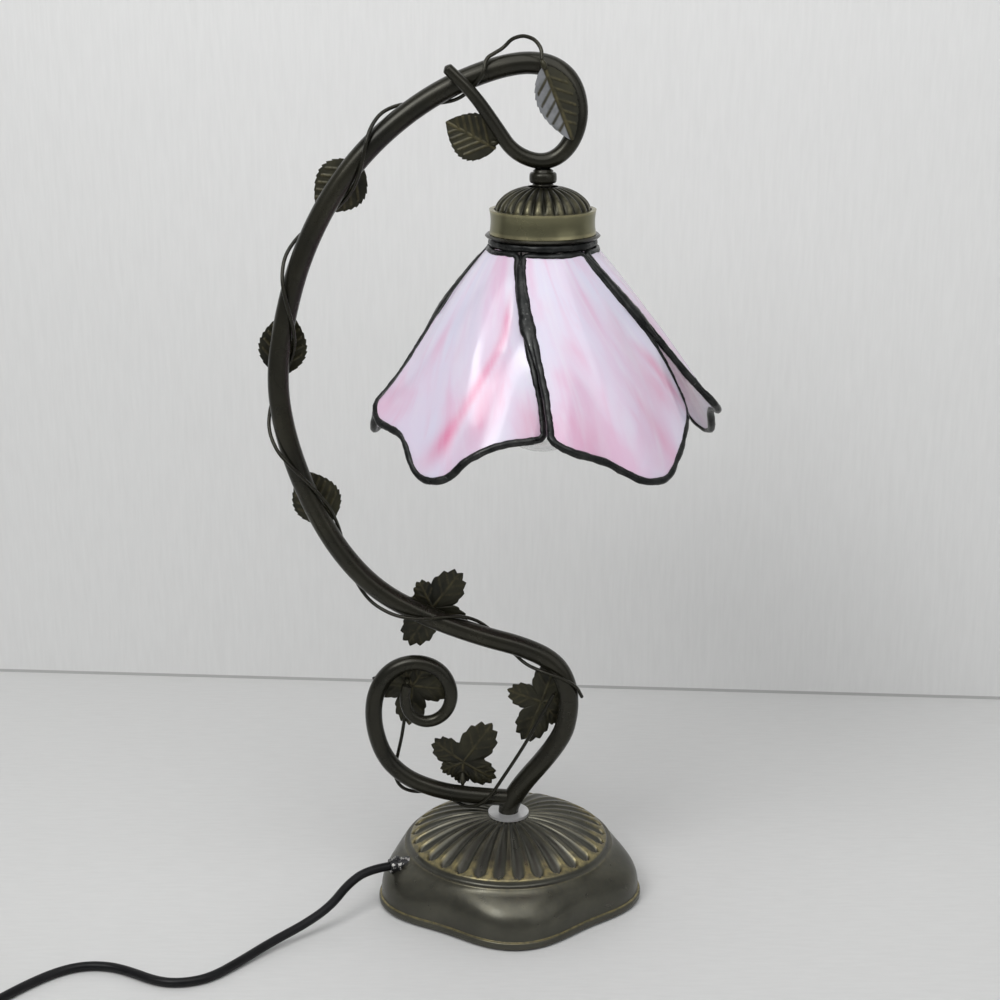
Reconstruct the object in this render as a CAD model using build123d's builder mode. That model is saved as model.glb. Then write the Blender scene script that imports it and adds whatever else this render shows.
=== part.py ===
from build123d import *
import math
import os

os.makedirs("parts", exist_ok=True)

# Driving dimensions, in millimetres and degrees

# Base: a five-lobed casting with a fluted dome on it
lobes = 5
lobe_turn = -86.0
felt_height = 1.3
lip_bottom = 1.0
lip_height = 4.0
lip_valley_radius = 66.0
lip_lobe_radius = 76.0
shoulder_step = 1.5
body_height = 23.5
ridge_radius = 60.0
ridge_out = 0.3
base_wall = 3.0
dome_rim_radius = 56.5
dome_rim_rise = 3.5
dome_rise = 13.5
dome_seat_radius = 13.0
dome_bulge = 3.6
base_flutes = 30
flute_radius = 3.6
flute_depth = 1.8
plate_thickness = 1.5
plate_ledge = 1.7
plate_clearance = 0.3
felt_inset = 3.0
screw_count = 3
screw_circle = 45.0
screw_radius = 1.55
screw_head_radius = 3.2
screw_length = 9.0
screw_clearance = 0.05
post_radius = 4.5
post_height = 31.0

# Stem, scroll and what holds them on the base
washer_radius = 11.7
washer_thickness = 1.6
stem_radius = 5.75
stem_bore_radius = 4.25
tail_tip_radius = 3.0
tail_taper = 0.55
scroll_radius = 4.85
scroll_bore_radius = 3.6
scroll_tip_radius = 2.8
scroll_taper = 0.7
weld_gap = 0.1
taper_steps = 24
taper_root = 3.0
taper_step = 0.06
nipple_radius = 4.15
nipple_bore_radius = 2.6
nipple_below_seat = 16.0
nipple_above_seat = 5.0
thread_clearance = 0.05
nut_flats = 13.0
nut_height = 5.0
lock_washer_radius = 9.0
lock_washer_thickness = 1.5
wire_radius = 1.5
wire_bore_radius = 2.3

# Vine and leaves
vine_radius = 1.0
vine_clearance = 0.4
vine_loose = 1.2
vine_steps = 8
vine_start = 16.0
vine_rise = 3.0
vine_fronts = [97, 183, 297, 389, 480, 555]
leaf_teeth = 9
leaf_notch = 0.92
lobe_spread = 92.0
leaf_lobe_half_angle = 42.0
leaf_thickness = 1.0
leaf_gap = 0.3
stalk_radius = 0.9

# Head: what hangs from the loop
head_x = 17.6
loop_centre_height = 418.5
bow_foot_height = 181.0
loop_joint_share = 0.4
loop_radius = 4.1
ball_radius = 7.4
ball_height = 8.6
ball_neck_radius = 3.6
ball_neck_height = 1.0
ball_thread_radius = 3.4
ball_thread_depth = 5.0
canopy_radius = 25.5
canopy_tip_radius = 8.0
canopy_height = 13.4
canopy_wall = 2.0
canopy_bulge = 4.2
canopy_flutes = 26
canopy_flute_radius = 1.9
canopy_flute_depth = 0.8
collar_radius = 28.2
collar_height = 12.6
collar_wall = 1.2
collar_rim = 1.6
collar_waist = 0.7
head_nipple_radius = 4.8
head_nipple_grip = 4.0
head_nut_flats = 14.0
head_nut_height = 4.0
seat_gap = 0.2
flange_radius = 30.5
flange_thickness = 1.9
holder_radius = 19.5
holder_cap_height = 5.8
holder_wall = 1.6
holder_body_height = 37.0
holder_floor = 8.5
holder_clearance = 0.5
ring_nut_radius = 23.0
ring_nut_height = 5.0
shell_radius = 13.7
shell_wall = 0.4
shell_length = 25.0
contact_radius = 4.0
contact_height = 2.2
bulb_cap_radius = 13.05
bulb_cap_length = 26.0
bulb_tip_radius = 4.5
bulb_tip_height = 3.0
bulb_radius = 30.0
bulb_length = 107.0
bulb_wall = 0.8
bulb_neck_radius = 11.6
bulb_shoulder = 16.0
bulb_stem_tip_radius = 2.0
bulb_stem_length = 24.0
filament_count = 4
filament_radius = 0.8
filament_length = 32.0
filament_circle = 7.0
part_gap = 0.3

# Shade: five bent petals, each twisted so that one edge flares and the other tucks in
petals = 5
petal_turn = -187.5
petal_twist = 26.0
neck_radius = 27.0
neck_band_height = 4.0
neck_band_wall = 3.2
neck_gap = 0.8
flare_radius = 96.0
tuck_radius = 79.0
seam_radius = 86.0
seam_belly = 4.0
petal_belly = 6.0
part_share = 0.40
part_power = 1.5
edge_drop = 81.0
lobe_drop = 27.0
lobe_out = 11.0
lobe_half_width = 0.42
corner_share = 0.12
corner_cut = 0.06
glass_thickness = 2.6
glass_corner = 5.0
bead_radius = 1.8
bead_gap = 0.6
bead_steps = 14
bead_neck_steps = 4
bead_corner = 3.4
bead_end_gap = 0.15
groove_clearance = 0.4
petal_rows = 13
petal_columns = 15
small_step = 0.001

# Lead, switch, coil and plug
cord_radius = 2.5
gland_turn = -160.0
gland_height = 24.5
gland_reach = 72.0
gland_seat = 66.2
gland_inner = 54.0
gland_radius = 4.0
gland_flange_radius = 5.2
gland_flange = 2.0
gland_clearance = 0.1
gland_straight = 13.0
switch_length = 60.0
switch_width = 24.0
switch_lower_height = 8.0
switch_upper_height = 8.0
switch_round = 5.0
switch_wall = 2.0
rocker_length = 20.0
rocker_width = 11.0
rocker_gap = 0.4
rocker_travel = 14.0
rocker_rise = 1.8
rocker_depth = 4.0
rocker_pivot_radius = 1.5
pivot_clearance = 0.1
coil_start_radius = 33.0
coil_ends = [35, 24.5, 24.5, 21.8, 30.2, 30.2, 37.5, 33, 35, 24.5, 24.5, 21.8, 30.2, 30.2, 37.5, 37.5]
coil_climbs = (3, 7, 11)
coil_layer = 5.7
coil_rest = 3.8
cord_end_gap = 0.7
tie_width = 6.0
tie_thickness = 0.8
tie_clearance = 0.5
plug_length = 36.0
plug_width = 25.0
plug_height = 18.0
plug_round = 6.0
plug_axis_height = 11.0
blade_length = 17.0
blade_width = 6.3
blade_thickness = 1.5
blade_spacing = 12.7
blade_root = 12.0
blade_clearance = 0.05



def bow(share):
    """A height between the bow's foot and the loop that the head hangs from."""
    return bow_foot_height + (loop_centre_height - bow_foot_height) * share


def by_loop(x, y, z):
    """A point given from the middle of the loop's foot."""
    return (head_x + x, y, loop_centre_height + z)


# Where each leaf sits: kind, length, width, middle, tip angle, and its stalk from root to anchor
behind = 9.6
high_leaf = bow(0.939)
middle_leaf = bow(0.585)
low_leaf = bow(0.219)
stem_back = stem_radius + leaf_gap
leaf_places = [
    ("oval", 40, 21, by_loop(7.4, -9.5, 30.5), -68, by_loop(0.6, -9.5, 47.5), by_loop(-1.1, -9.5, 52)),
    ("oval", 29, 26, by_loop(-37.6, 0, 13.5), 152, by_loop(-27.6, 0, 9.5), by_loop(-23.5, -1.4, 10)),
    ("oval", 34, 29, (-90, behind, high_leaf), 225, (-91.5, behind, high_leaf), (-91.5, stem_back, high_leaf)),
    ("oval", 36, 27, (-122, behind, middle_leaf), 80, (-122, behind, middle_leaf), (-122, stem_back, middle_leaf)),
    ("oval", 34, 28, (-107.5, behind, low_leaf), 115, (-109, behind, low_leaf), (-109, stem_back, low_leaf)),
    ("lobed", 22, 24, (-43, 7.6, 169), -35, (-48, 7.6, 167.3), (-48, stem_back, 167.3)),
    ("lobed", 22, 21, (-55, 7.6, 122), 265, (-57.5, 7.6, 126), (-57.5, 0.2, 126)),
    ("lobed", 19, 25, (19, 7.6, 112), 160, (28.4, 7.6, 111), (30.6, 4.8, 111)),
    ("lobed", 27, 19, (-26, 6.6, 75), 55, (-26.5, 6.6, 68.5), (-26.5, 2.7, 62.1)),
]
vine_top = [
    by_loop(-20.6, 4.5, 57.5), by_loop(-16.6, 3, 62), by_loop(-10.6, 0.5, 63.9), by_loop(-4.6, -4, 62),
    by_loop(-1.4, -8, 57.5), by_loop(-1.2, -9.4, 52.5),
]
tendril_turns = [
    (25.5, -1, 120), (17, -2, 104), (7, -3, 86), (-4, -5, 69), (-11, -6.8, 58.5), (-17.5, -5.2, 52.6),
    (-25, -1, 50.3), (-33, 4.6, 52.6), (-40, 6.4, 55.6), (-47, 5.6, 57), (-55, 4.6, 56.8), (-63, 5.4, 59.6),
    (-66.5, 7, 68), (-63.5, 7.2, 81), (-60.5, 6.2, 95), (-59, 5.7, 107),
]

# Routes, chosen point by point

stem_turns = [
    (0, 0, 55), (30, 0, 91), (34.5, 0, 110), (33, 0, 127), (25, 0, 140), (8, 0, 148.5),
    (-16, 0, 155), (-45, 0, 166), (-73, 0, bow_foot_height), (-95, 0, bow(0.105)), (-112, 0, bow(0.248)),
    (-122.5, 0, bow(0.392)), (-125.5, 0, bow(0.522)), (-119, 0, bow(0.67)), (-109, 0, bow(0.804)),
    (-92, 0, bow(0.939)), by_loop(-86.6, 1.5, 12.5), by_loop(-55.6, 4, 35.5), by_loop(-21.6, 5.2, 49),
]
arch_turns = [by_loop(0.4, 5, 50.5), by_loop(14.4, 3.5, 41.5)]
loop_turns = [by_loop(19.4, 1.2, 23.5), by_loop(13.4, 0, 6.5), by_loop(0.9, 0, -1.4)]
tail_turns = [
    by_loop(-15.6, -2, 4.5), by_loop(-24.6, -4.5, 18.5), by_loop(-35.6, -6.5, 34.5), by_loop(-48.6, -7, 47),
]
scroll_turns = [
    (-1, 0, 55.5), (-22, 0, 56.8), (-42, 0, 60.5), (-60, 0, 68.5), (-72, 0, 82),
    (-77.5, 0, 103), (-75.5, 0, 122), (-66, 0, 135.5),
]
curl_turns = [
    (-51, 0, 140), (-37.5, -0.5, 134.5), (-31.5, -1, 121), (-35, -1.5, 108.5), (-46, -2, 102.5),
    (-56.5, -2.5, 107.5), (-59.5, -3, 119), (-57.5, -3, 126),
]
lead_turns = [
    (-90.5, -37.5, 20), (-99, -50, 13.5), (-112, -61, 8.5), (-129, -74, 5), (-146, -93, 2.7),
    (-158, -107, 2.5), (-170.9, -112.5, 2.5), (-184.9, -111.7, 2.5), (-204, -99.9, 2.5), (-216, -95.4, 2.5),
    (-229, -95.6, 2.5), (-241, -101.6, 2.5), (-254, -114.5, 2.5), (-267, -132, 2.7), (-275.4, -142.2, 5),
]
switch_entry = (-282, -151)
switch_heading = (-0.6, -0.8)
link_turns = [
    (-326, -209.7, 8), (-338, -218.5, 6.2), (-353, -221, 4.8), (-368.5, -215.5, 4),
    (-379, -202, 3.8), (-382.3, -187, 3.8), (-383, -171, 3.8),
]
coil_centre = (-350, -150)
tail_cord_turns = [(-387, -135, 20.3), (-381, -118, 17.5), (-368, -104, 14), (-352, -95, 11.5)]
plug_start = (-339, -93)


# Shared shapes


def corner_radii(points):
    """The largest bend at each corner of a route: 0.45 of the shorter run over the half turn's tangent."""
    radii = []
    for before, here, after in zip(points, points[1:], points[2:]):
        run_in = Vector(here) - Vector(before)
        run_out = Vector(after) - Vector(here)
        half_turn = math.radians(run_in.get_angle(run_out) / 2)
        radii.append(0.45 * min(run_in.length, run_out.length) / math.tan(half_turn))
    return radii


def route(points):
    """Straight runs joined by tangent arcs, drawn into the line block that calls it."""
    return FilletPolyline(*points, radius=corner_radii(points))


def across(line, share):
    """A plane square to a line at a share of its length."""
    return Plane(line @ share, x_dir=(0, 1, 0.01), z_dir=line % share)


def tube(points, radius, bore=0.0):
    """A round tube or rod along a route."""
    with BuildPart() as made:
        with BuildLine() as run:
            route(points)
        with BuildSketch(across(run.line, 0)):
            Circle(radius)
            if bore:
                Circle(bore, mode=Mode.SUBTRACT)
        sweep(path=run.line)
    return made.part


def tapered_end(points, start_radius, tip_radius, power):
    """A rod along a route that thins towards a rounded tip; its root reaches back into the tube it ends."""
    with BuildPart() as made:
        with BuildLine() as run:
            route(points)
        with BuildSketch(across(run.line, 0).offset(-taper_root)):
            Circle(start_radius - taper_step)
        for step in range(taper_steps + 1):
            share = step / taper_steps
            with BuildSketch(across(run.line, share)):
                Circle(start_radius - taper_step - (start_radius - taper_step - tip_radius) * share**power)
        for share in (0.4, 0.7, 0.9):
            with BuildSketch(across(run.line, 1).offset(tip_radius * share)):
                Circle(tip_radius * math.sqrt(1 - share**2))
        loft(ruled=True)
    return made.part


def middle(first, second):
    """The point half way between two points."""
    return tuple((a + b) / 2 for a, b in zip(first, second))


def write(part, label):
    """Name a finished piece and write its file."""
    part.label = label
    export_step(part, f"parts/{label}.step")


# Heights that follow from the sizes

shoulder_height = lip_bottom + lip_height
ridge_height = shoulder_height + body_height
rim_height = ridge_height + dome_rim_rise
seat_height = rim_height + dome_rise
washer_top = seat_height + washer_thickness
loop_bottom = loop_centre_height - loop_radius
ball_top = loop_bottom - weld_gap
ball_bottom = ball_top - ball_height
collar_plate_top = ball_bottom - canopy_height
collar_top = collar_plate_top + collar_rim
collar_bottom = collar_top - collar_height
flange_top = collar_bottom - seat_gap
flange_bottom = flange_top - flange_thickness
holder_top = collar_plate_top - collar_wall - head_nut_height
holder_body_top = holder_top - holder_cap_height
holder_bottom = holder_body_top - holder_body_height
contact_top = holder_body_top - holder_floor
shoulder_valley_radius = lip_valley_radius - shoulder_step
shoulder_lobe_radius = lip_lobe_radius - shoulder_step


# Base


def lobed_outline(valley_radius, lobe_radius):
    """A rounded pentagon, drawn into the sketch block that calls it."""
    spread = 1 / math.cos(math.pi / lobes)
    rounding = (valley_radius * spread - lobe_radius) / (spread - 1)
    outline = RegularPolygon(valley_radius * spread, lobes, rotation=lobe_turn)
    fillet(outline.vertices(), rounding)


def lobed_body(inset):
    """The lobed body from its shoulder to the round ridge, drawn in by a wall."""
    with BuildPart() as made:
        for share in (0, 0.3, 0.55, 0.8, 1):
            swell = 1 - share**2
            valley = ridge_radius + (shoulder_valley_radius - ridge_radius) * swell
            lobe = ridge_radius + ridge_out + (shoulder_lobe_radius - ridge_radius - ridge_out) * swell
            with BuildSketch(Plane.XY.offset(shoulder_height + body_height * share)):
                lobed_outline(valley - inset, lobe - inset)
        loft()
    return made.part


def dome(inset):
    """The dome over the body, drawn in by a wall."""
    foot = (ridge_radius - inset, ridge_height)
    rim = (dome_rim_radius - inset, rim_height - inset)
    seat = (dome_seat_radius, seat_height - inset)
    crown = ((rim[0] + seat[0]) / 2, (rim[1] + seat[1]) / 2 + dome_bulge)
    with BuildPart() as made:
        with BuildSketch(Plane.XZ):
            with BuildLine():
                Polyline(rim, foot, (0, ridge_height), (0, seat_height - inset), seat)
                ThreePointArc(rim, crown, seat)
            make_face()
        revolve(axis=Axis.Z)
    return made.part


with BuildPart() as flute:
    inner_end = (dome_seat_radius + flute_radius / 2, seat_height + flute_radius)
    outer_end = (dome_rim_radius + flute_radius, rim_height + flute_radius - flute_depth)
    crown_point = (
        (dome_rim_radius + dome_seat_radius) / 2,
        (rim_height + seat_height) / 2 + dome_bulge + flute_radius - flute_depth / 2,
    )
    with BuildLine(Plane.XZ) as flute_run:
        ThreePointArc(inner_end, crown_point, outer_end)
    with BuildSketch(across(flute_run.line, 0)):
        Circle(flute_radius)
    sweep(path=flute_run.line)

gland_axis = Plane((0, 0, gland_height), z_dir=Vector(1, 0, 0).rotate(Axis.Z, gland_turn))

with BuildPart() as base_casting:
    with BuildSketch(Plane.XY.offset(lip_bottom)):
        lobed_outline(lip_valley_radius, lip_lobe_radius)
    extrude(amount=lip_height)
    add(lobed_body(0))
    add(dome(0))
    with PolarLocations(0, base_flutes):
        add(flute.part, mode=Mode.SUBTRACT)
    add(lobed_body(base_wall), mode=Mode.SUBTRACT)
    add(dome(base_wall), mode=Mode.SUBTRACT)
    with BuildSketch(Plane.XY.offset(lip_bottom)):
        lobed_outline(shoulder_valley_radius - base_wall, shoulder_lobe_radius - base_wall)
    extrude(amount=lip_height, mode=Mode.SUBTRACT)
    with BuildSketch(Plane.XY.offset(lip_bottom)):
        lobed_outline(
            shoulder_valley_radius - base_wall + plate_ledge, shoulder_lobe_radius - base_wall + plate_ledge
        )
    extrude(amount=felt_height + plate_thickness - lip_bottom, mode=Mode.SUBTRACT)
    with BuildSketch(Plane.XY.offset(felt_height + plate_thickness)):
        with PolarLocations(screw_circle, screw_count):
            Circle(post_radius)
    extrude(amount=post_height)
    with BuildSketch(Plane.XY.offset(felt_height + plate_thickness)):
        with PolarLocations(screw_circle, screw_count):
            Circle(screw_radius + screw_clearance)
    extrude(amount=screw_length + plate_thickness, mode=Mode.SUBTRACT)
    with BuildSketch(Plane.XY.offset(seat_height)):
        Circle(nipple_radius + thread_clearance)
    extrude(amount=-base_wall, mode=Mode.SUBTRACT)
    with BuildSketch(gland_axis.offset(gland_inner)):
        Circle(gland_radius + gland_clearance)
    extrude(amount=gland_reach - gland_inner, mode=Mode.SUBTRACT)
    with BuildSketch(gland_axis.offset(gland_seat)):
        Circle(gland_flange_radius + gland_clearance)
    extrude(amount=lip_lobe_radius - gland_seat, mode=Mode.SUBTRACT)

with BuildPart() as base_plate:
    with BuildSketch(Plane.XY.offset(felt_height)):
        lobed_outline(
            shoulder_valley_radius - base_wall + plate_ledge - plate_clearance,
            shoulder_lobe_radius - base_wall + plate_ledge - plate_clearance,
        )
    extrude(amount=plate_thickness)
    with Locations(Plane.XY.offset(felt_height)):
        with PolarLocations(screw_circle, screw_count):
            Cone(
                screw_head_radius + screw_clearance,
                screw_radius + screw_clearance,
                plate_thickness,
                align=(Align.CENTER, Align.CENTER, Align.MIN),
                mode=Mode.SUBTRACT,
            )

with BuildPart() as base_screws:
    with Locations(Plane.XY.offset(felt_height)):
        with PolarLocations(screw_circle, screw_count):
            Cone(
                screw_head_radius, screw_radius, plate_thickness, align=(Align.CENTER, Align.CENTER, Align.MIN)
            )
    with Locations(Plane.XY.offset(felt_height + plate_thickness)):
        with PolarLocations(screw_circle, screw_count):
            Cylinder(screw_radius, screw_length, align=(Align.CENTER, Align.CENTER, Align.MIN))

with BuildPart() as base_felt:
    with BuildSketch():
        lobed_outline(
            shoulder_valley_radius - base_wall - felt_inset, shoulder_lobe_radius - base_wall - felt_inset
        )
    extrude(amount=felt_height)

with BuildPart() as stem_washer:
    with BuildSketch(Plane.XY.offset(seat_height)):
        Circle(washer_radius)
        Circle(nipple_radius + thread_clearance, mode=Mode.SUBTRACT)
    extrude(amount=washer_thickness)
    fillet(stem_washer.edges().filter_by(GeomType.CIRCLE).sort_by(Axis.Z)[-1], washer_thickness / 4)

under_seat = seat_height - base_wall

with BuildPart() as base_nipple:
    with BuildSketch(Plane.XY.offset(seat_height - nipple_below_seat)):
        Circle(nipple_radius)
        Circle(nipple_bore_radius, mode=Mode.SUBTRACT)
    extrude(amount=nipple_below_seat + nipple_above_seat)

with BuildPart() as base_lock_washer:
    with BuildSketch(Plane.XY.offset(under_seat)):
        Circle(lock_washer_radius)
        Circle(nipple_radius + thread_clearance, mode=Mode.SUBTRACT)
    extrude(amount=-lock_washer_thickness)

with BuildPart() as base_nut:
    with BuildSketch(Plane.XY.offset(under_seat - lock_washer_thickness)):
        RegularPolygon(nut_flats / 2, 6, major_radius=False)
        Circle(nipple_radius + thread_clearance, mode=Mode.SUBTRACT)
    extrude(amount=-nut_height)


# Stem, scroll and the wire inside

stem_start = (0, 0, washer_top)
taper_start = middle(arch_turns[-1], loop_turns[0])
wire_end = (head_x, 0, contact_top)
arch_run = Vector(*arch_turns[0]) - Vector(*stem_turns[-1])
loop_joint = Vector(*stem_turns[-1]) + arch_run * loop_joint_share
stem_path = [stem_start] + stem_turns + [tuple(loop_joint)]
arch_path = [tuple(loop_joint + arch_run.normalized() * weld_gap)] + arch_turns + [taper_start]
loop_wire_path = loop_turns[:-1] + [(head_x, 0, loop_centre_height), wire_end]

stem_tube = tube(stem_path, stem_radius, stem_bore_radius)
arch = tube(arch_path, stem_radius, stem_bore_radius)
stem_tail = tapered_end([taper_start] + loop_turns + tail_turns, stem_radius, tail_tip_radius, tail_taper)
loop_wire_bore = tube(arch_turns + loop_wire_path, wire_bore_radius)

with BuildPart() as stem_loop:
    add(arch)
    add(stem_tail)
    add(loop_wire_bore, mode=Mode.SUBTRACT)

scroll_taper_start = middle(scroll_turns[-1], curl_turns[0])
scroll_run = tube(scroll_turns + [scroll_taper_start], scroll_radius, scroll_bore_radius)
scroll_curl = tapered_end([scroll_taper_start] + curl_turns, scroll_radius, scroll_tip_radius, scroll_taper)
stem_envelope = tube(stem_path[:4], stem_radius + weld_gap)

with BuildPart() as scroll_tube:
    add(scroll_run)
    add(scroll_curl)
    add(stem_envelope, mode=Mode.SUBTRACT)

gland_inside = gland_axis.offset(gland_inner).origin
inner_wire_path = [
    tuple(gland_inside),
    tuple(gland_axis.offset(gland_inner - 16).origin + Vector(0, 0, -2)),
    (-12, -4.5, gland_height - 5),
    (0, 0, gland_height + 2),
]
inner_wire = tube(inner_wire_path + stem_turns + arch_turns + loop_wire_path, wire_radius)


# Vine, wound round the stem, and its tendrils

stem_axis = Wire(FilletPolyline(*stem_path, radius=corner_radii(stem_path)).edges())


def beside_stem(length, angle):
    """A point of the vine: 0 is right of the stem seen from the front, 90 in front, 180 left, 270 behind."""
    centre = stem_axis.position_at(length, position_mode=PositionMode.LENGTH)
    heading = stem_axis.tangent_at(length, position_mode=PositionMode.LENGTH)
    right = Vector(heading.Z, 0, -heading.X)
    reach = (stem_radius + vine_radius + vine_clearance) / math.cos(math.pi / vine_steps)
    reach += vine_loose * (1 - math.cos(math.radians(angle))) / 2
    turn = math.radians(angle)
    point = centre + right * (reach * math.cos(turn)) + Vector(0, -reach * math.sin(turn), 0)
    return tuple(point)


vine_path = []
for low, high, turn in zip(vine_fronts, vine_fronts[1:], range(len(vine_fronts))):
    for step in range(vine_steps):
        share = step / vine_steps
        vine_path.append(beside_stem(low + (high - low) * share, 90 + 360 * (turn + share)))
vine_lead_in = [
    beside_stem(vine_fronts[0] - vine_start, 0),
    beside_stem(vine_fronts[0] - vine_start / 2, 45),
]
vine_lead_out = [beside_stem(vine_fronts[-1], 90), beside_stem(vine_fronts[-1] + vine_rise, 135)]
vine_path = vine_lead_in + vine_path + vine_lead_out + vine_top
vine_wire = tube(vine_path, vine_radius)
vine_tendril = tube(tendril_turns, vine_radius)


# Leaves: thin serrated plates on short stalks


def oval_outline(length, width):
    """A serrated oval leaf about its middle, with its tip along +X."""
    side = []
    for step in range(1, 2 * leaf_teeth):
        share = step / (2 * leaf_teeth)
        notch = 1.0 if step % 2 else leaf_notch
        side.append((length * (share - 0.5), width / 2 * notch * math.sin(math.pi * share**0.85)))
    back = [(x, -y) for x, y in reversed(side)]
    return [(-length / 2, 0)] + side + [(length / 2, 0)] + back


def lobed_leaf_outline(length, width):
    """A three-lobed serrated leaf about its middle, with its tip along +X."""
    points = []
    for step in range(6 * leaf_teeth):
        angle = 360 * step / (6 * leaf_teeth)
        reach = 0.42 * width
        for lobe, size in ((0, length), (lobe_spread, width), (360 - lobe_spread, width)):
            away = abs((angle - lobe + 180) % 360 - 180) / leaf_lobe_half_angle
            reach = max(reach, size * (0.42 + 0.58 * max(0.0, 1 - away**2)))
        notch = 1.0 if step % 2 else leaf_notch
        turn = math.radians(angle)
        points.append((reach * notch * math.cos(turn), reach * notch * math.sin(turn)))
    return points


def leaf(outline, centre, tip_angle, root, anchor):
    """A leaf that faces the front, its tip turned from +X towards +Z, with a stalk to what carries it."""
    turn = math.radians(tip_angle)
    leaf_plane = Plane(centre, x_dir=(math.cos(turn), 0, math.sin(turn)), z_dir=(0, -1, 0))
    stalk = Vector(anchor) - Vector(root)
    with BuildPart() as made:
        with BuildSketch(leaf_plane):
            with BuildLine():
                Polyline(*outline, close=True)
            make_face()
        extrude(amount=leaf_thickness / 2, both=True)
        with BuildSketch(Plane(root, z_dir=stalk)):
            Circle(stalk_radius)
        extrude(amount=stalk.length)
    return made.part


leaf_outlines = {"oval": oval_outline, "lobed": lobed_leaf_outline}
leaves = []
for kind, length, width, centre, tip_angle, root, anchor in leaf_places:
    leaves.append(leaf(leaf_outlines[kind](length, width), centre, tip_angle, root, anchor))


# Head: ball, canopy, collar, lampholder and bulb, all round one axis

head_axis = Axis((head_x, 0, 0), (0, 0, 1))
head_plane = Plane((head_x, 0, 0))


def turned(points):
    """A piece turned round the head axis from half of its section: radius and height pairs."""
    with BuildPart() as made:
        with BuildSketch(Plane.XZ):
            with BuildLine():
                Polyline(*[(head_x + radius, height) for radius, height in points], close=True)
            make_face()
        revolve(axis=head_axis)
    return made.part


ball_middle = ball_bottom + (ball_height - ball_neck_height) / 2
ball_half = (ball_height - ball_neck_height) / 2

with BuildPart() as ball_coupling:
    with BuildSketch(Plane.XZ):
        with Locations((head_x, ball_middle)):
            Ellipse(ball_radius, ball_half)
        with Locations((head_x, ball_top - ball_height / 2)):
            Rectangle(2 * ball_neck_radius, ball_height)
        with Locations((head_x - ball_radius, ball_middle)):
            Rectangle(2 * ball_radius, 2 * ball_height, mode=Mode.SUBTRACT)
    revolve(axis=head_axis)
    with BuildSketch(head_plane.offset(ball_bottom)):
        Circle(ball_thread_radius + thread_clearance)
    extrude(amount=ball_thread_depth, mode=Mode.SUBTRACT)
    with BuildSketch(head_plane.offset(ball_bottom)):
        Circle(wire_bore_radius)
    extrude(amount=ball_height, mode=Mode.SUBTRACT)


def canopy_shell(inset):
    """The domed cap, drawn in by a wall."""
    foot = (head_x + canopy_radius - inset, collar_plate_top)
    tip = (head_x + canopy_tip_radius, ball_bottom - inset)
    bulge = ((foot[0] + tip[0]) / 2 + canopy_bulge, (foot[1] + tip[1]) / 2 + canopy_bulge)
    with BuildPart() as made:
        with BuildSketch(Plane.XZ):
            with BuildLine():
                Polyline(foot, (head_x, foot[1]), (head_x, tip[1]), tip)
                ThreePointArc(foot, bulge, tip)
            make_face()
        revolve(axis=head_axis)
    return made.part


with BuildPart() as canopy_flute:
    lift = canopy_flute_radius - canopy_flute_depth
    flute_foot = (canopy_radius + lift, collar_plate_top)
    flute_tip = (canopy_tip_radius, ball_bottom + canopy_flute_radius)
    flute_bulge = (
        (canopy_radius + canopy_tip_radius) / 2 + canopy_bulge + lift * 0.7,
        (collar_plate_top + ball_bottom) / 2 + canopy_bulge + lift * 0.7,
    )
    with BuildLine(Plane.XZ) as canopy_flute_run:
        ThreePointArc(flute_foot, flute_bulge, flute_tip)
    with BuildSketch(across(canopy_flute_run.line, 0)):
        Circle(canopy_flute_radius)
    sweep(path=canopy_flute_run.line)

with BuildPart() as canopy:
    add(canopy_shell(0))
    with Locations((head_x, 0, 0)):
        with PolarLocations(0, canopy_flutes):
            add(canopy_flute.part, mode=Mode.SUBTRACT)
    add(canopy_shell(canopy_wall), mode=Mode.SUBTRACT)
    with BuildSketch(head_plane.offset(ball_bottom)):
        Circle(head_nipple_radius + thread_clearance)
    extrude(amount=-canopy_wall, mode=Mode.SUBTRACT)

with BuildPart() as fitter_collar:
    with BuildSketch(Plane.XZ):
        with BuildLine():
            outer_top = (head_x + collar_radius, collar_top)
            outer_bottom = (head_x + collar_radius, collar_bottom)
            Polyline(
                outer_bottom,
                (head_x + collar_radius - collar_waist - collar_wall, collar_bottom),
                (head_x + collar_radius - collar_waist - collar_wall, collar_plate_top - collar_wall),
                (head_x + head_nipple_radius + thread_clearance, collar_plate_top - collar_wall),
                (head_x + head_nipple_radius + thread_clearance, collar_plate_top),
                (head_x + canopy_radius + part_gap, collar_plate_top),
                (head_x + canopy_radius + part_gap, collar_top),
                outer_top,
            )
            waist = (head_x + collar_radius - collar_waist, (collar_top + collar_bottom) / 2)
            ThreePointArc(outer_top, waist, outer_bottom)
        make_face()
    revolve(axis=head_axis)

with BuildPart() as head_nipple:
    with BuildSketch(head_plane.offset(ball_bottom + ball_thread_depth - part_gap)):
        Circle(ball_thread_radius)
        Circle(wire_bore_radius, mode=Mode.SUBTRACT)
    extrude(amount=-(ball_thread_depth - part_gap))
    with BuildSketch(head_plane.offset(ball_bottom)):
        Circle(head_nipple_radius)
        Circle(wire_bore_radius, mode=Mode.SUBTRACT)
    extrude(amount=-(ball_bottom - holder_top + head_nipple_grip))

with BuildPart() as head_nut:
    with BuildSketch(head_plane.offset(collar_plate_top - collar_wall)):
        RegularPolygon(head_nut_flats / 2, 6, major_radius=False)
        Circle(head_nipple_radius + thread_clearance, mode=Mode.SUBTRACT)
    extrude(amount=-head_nut_height)

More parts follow.
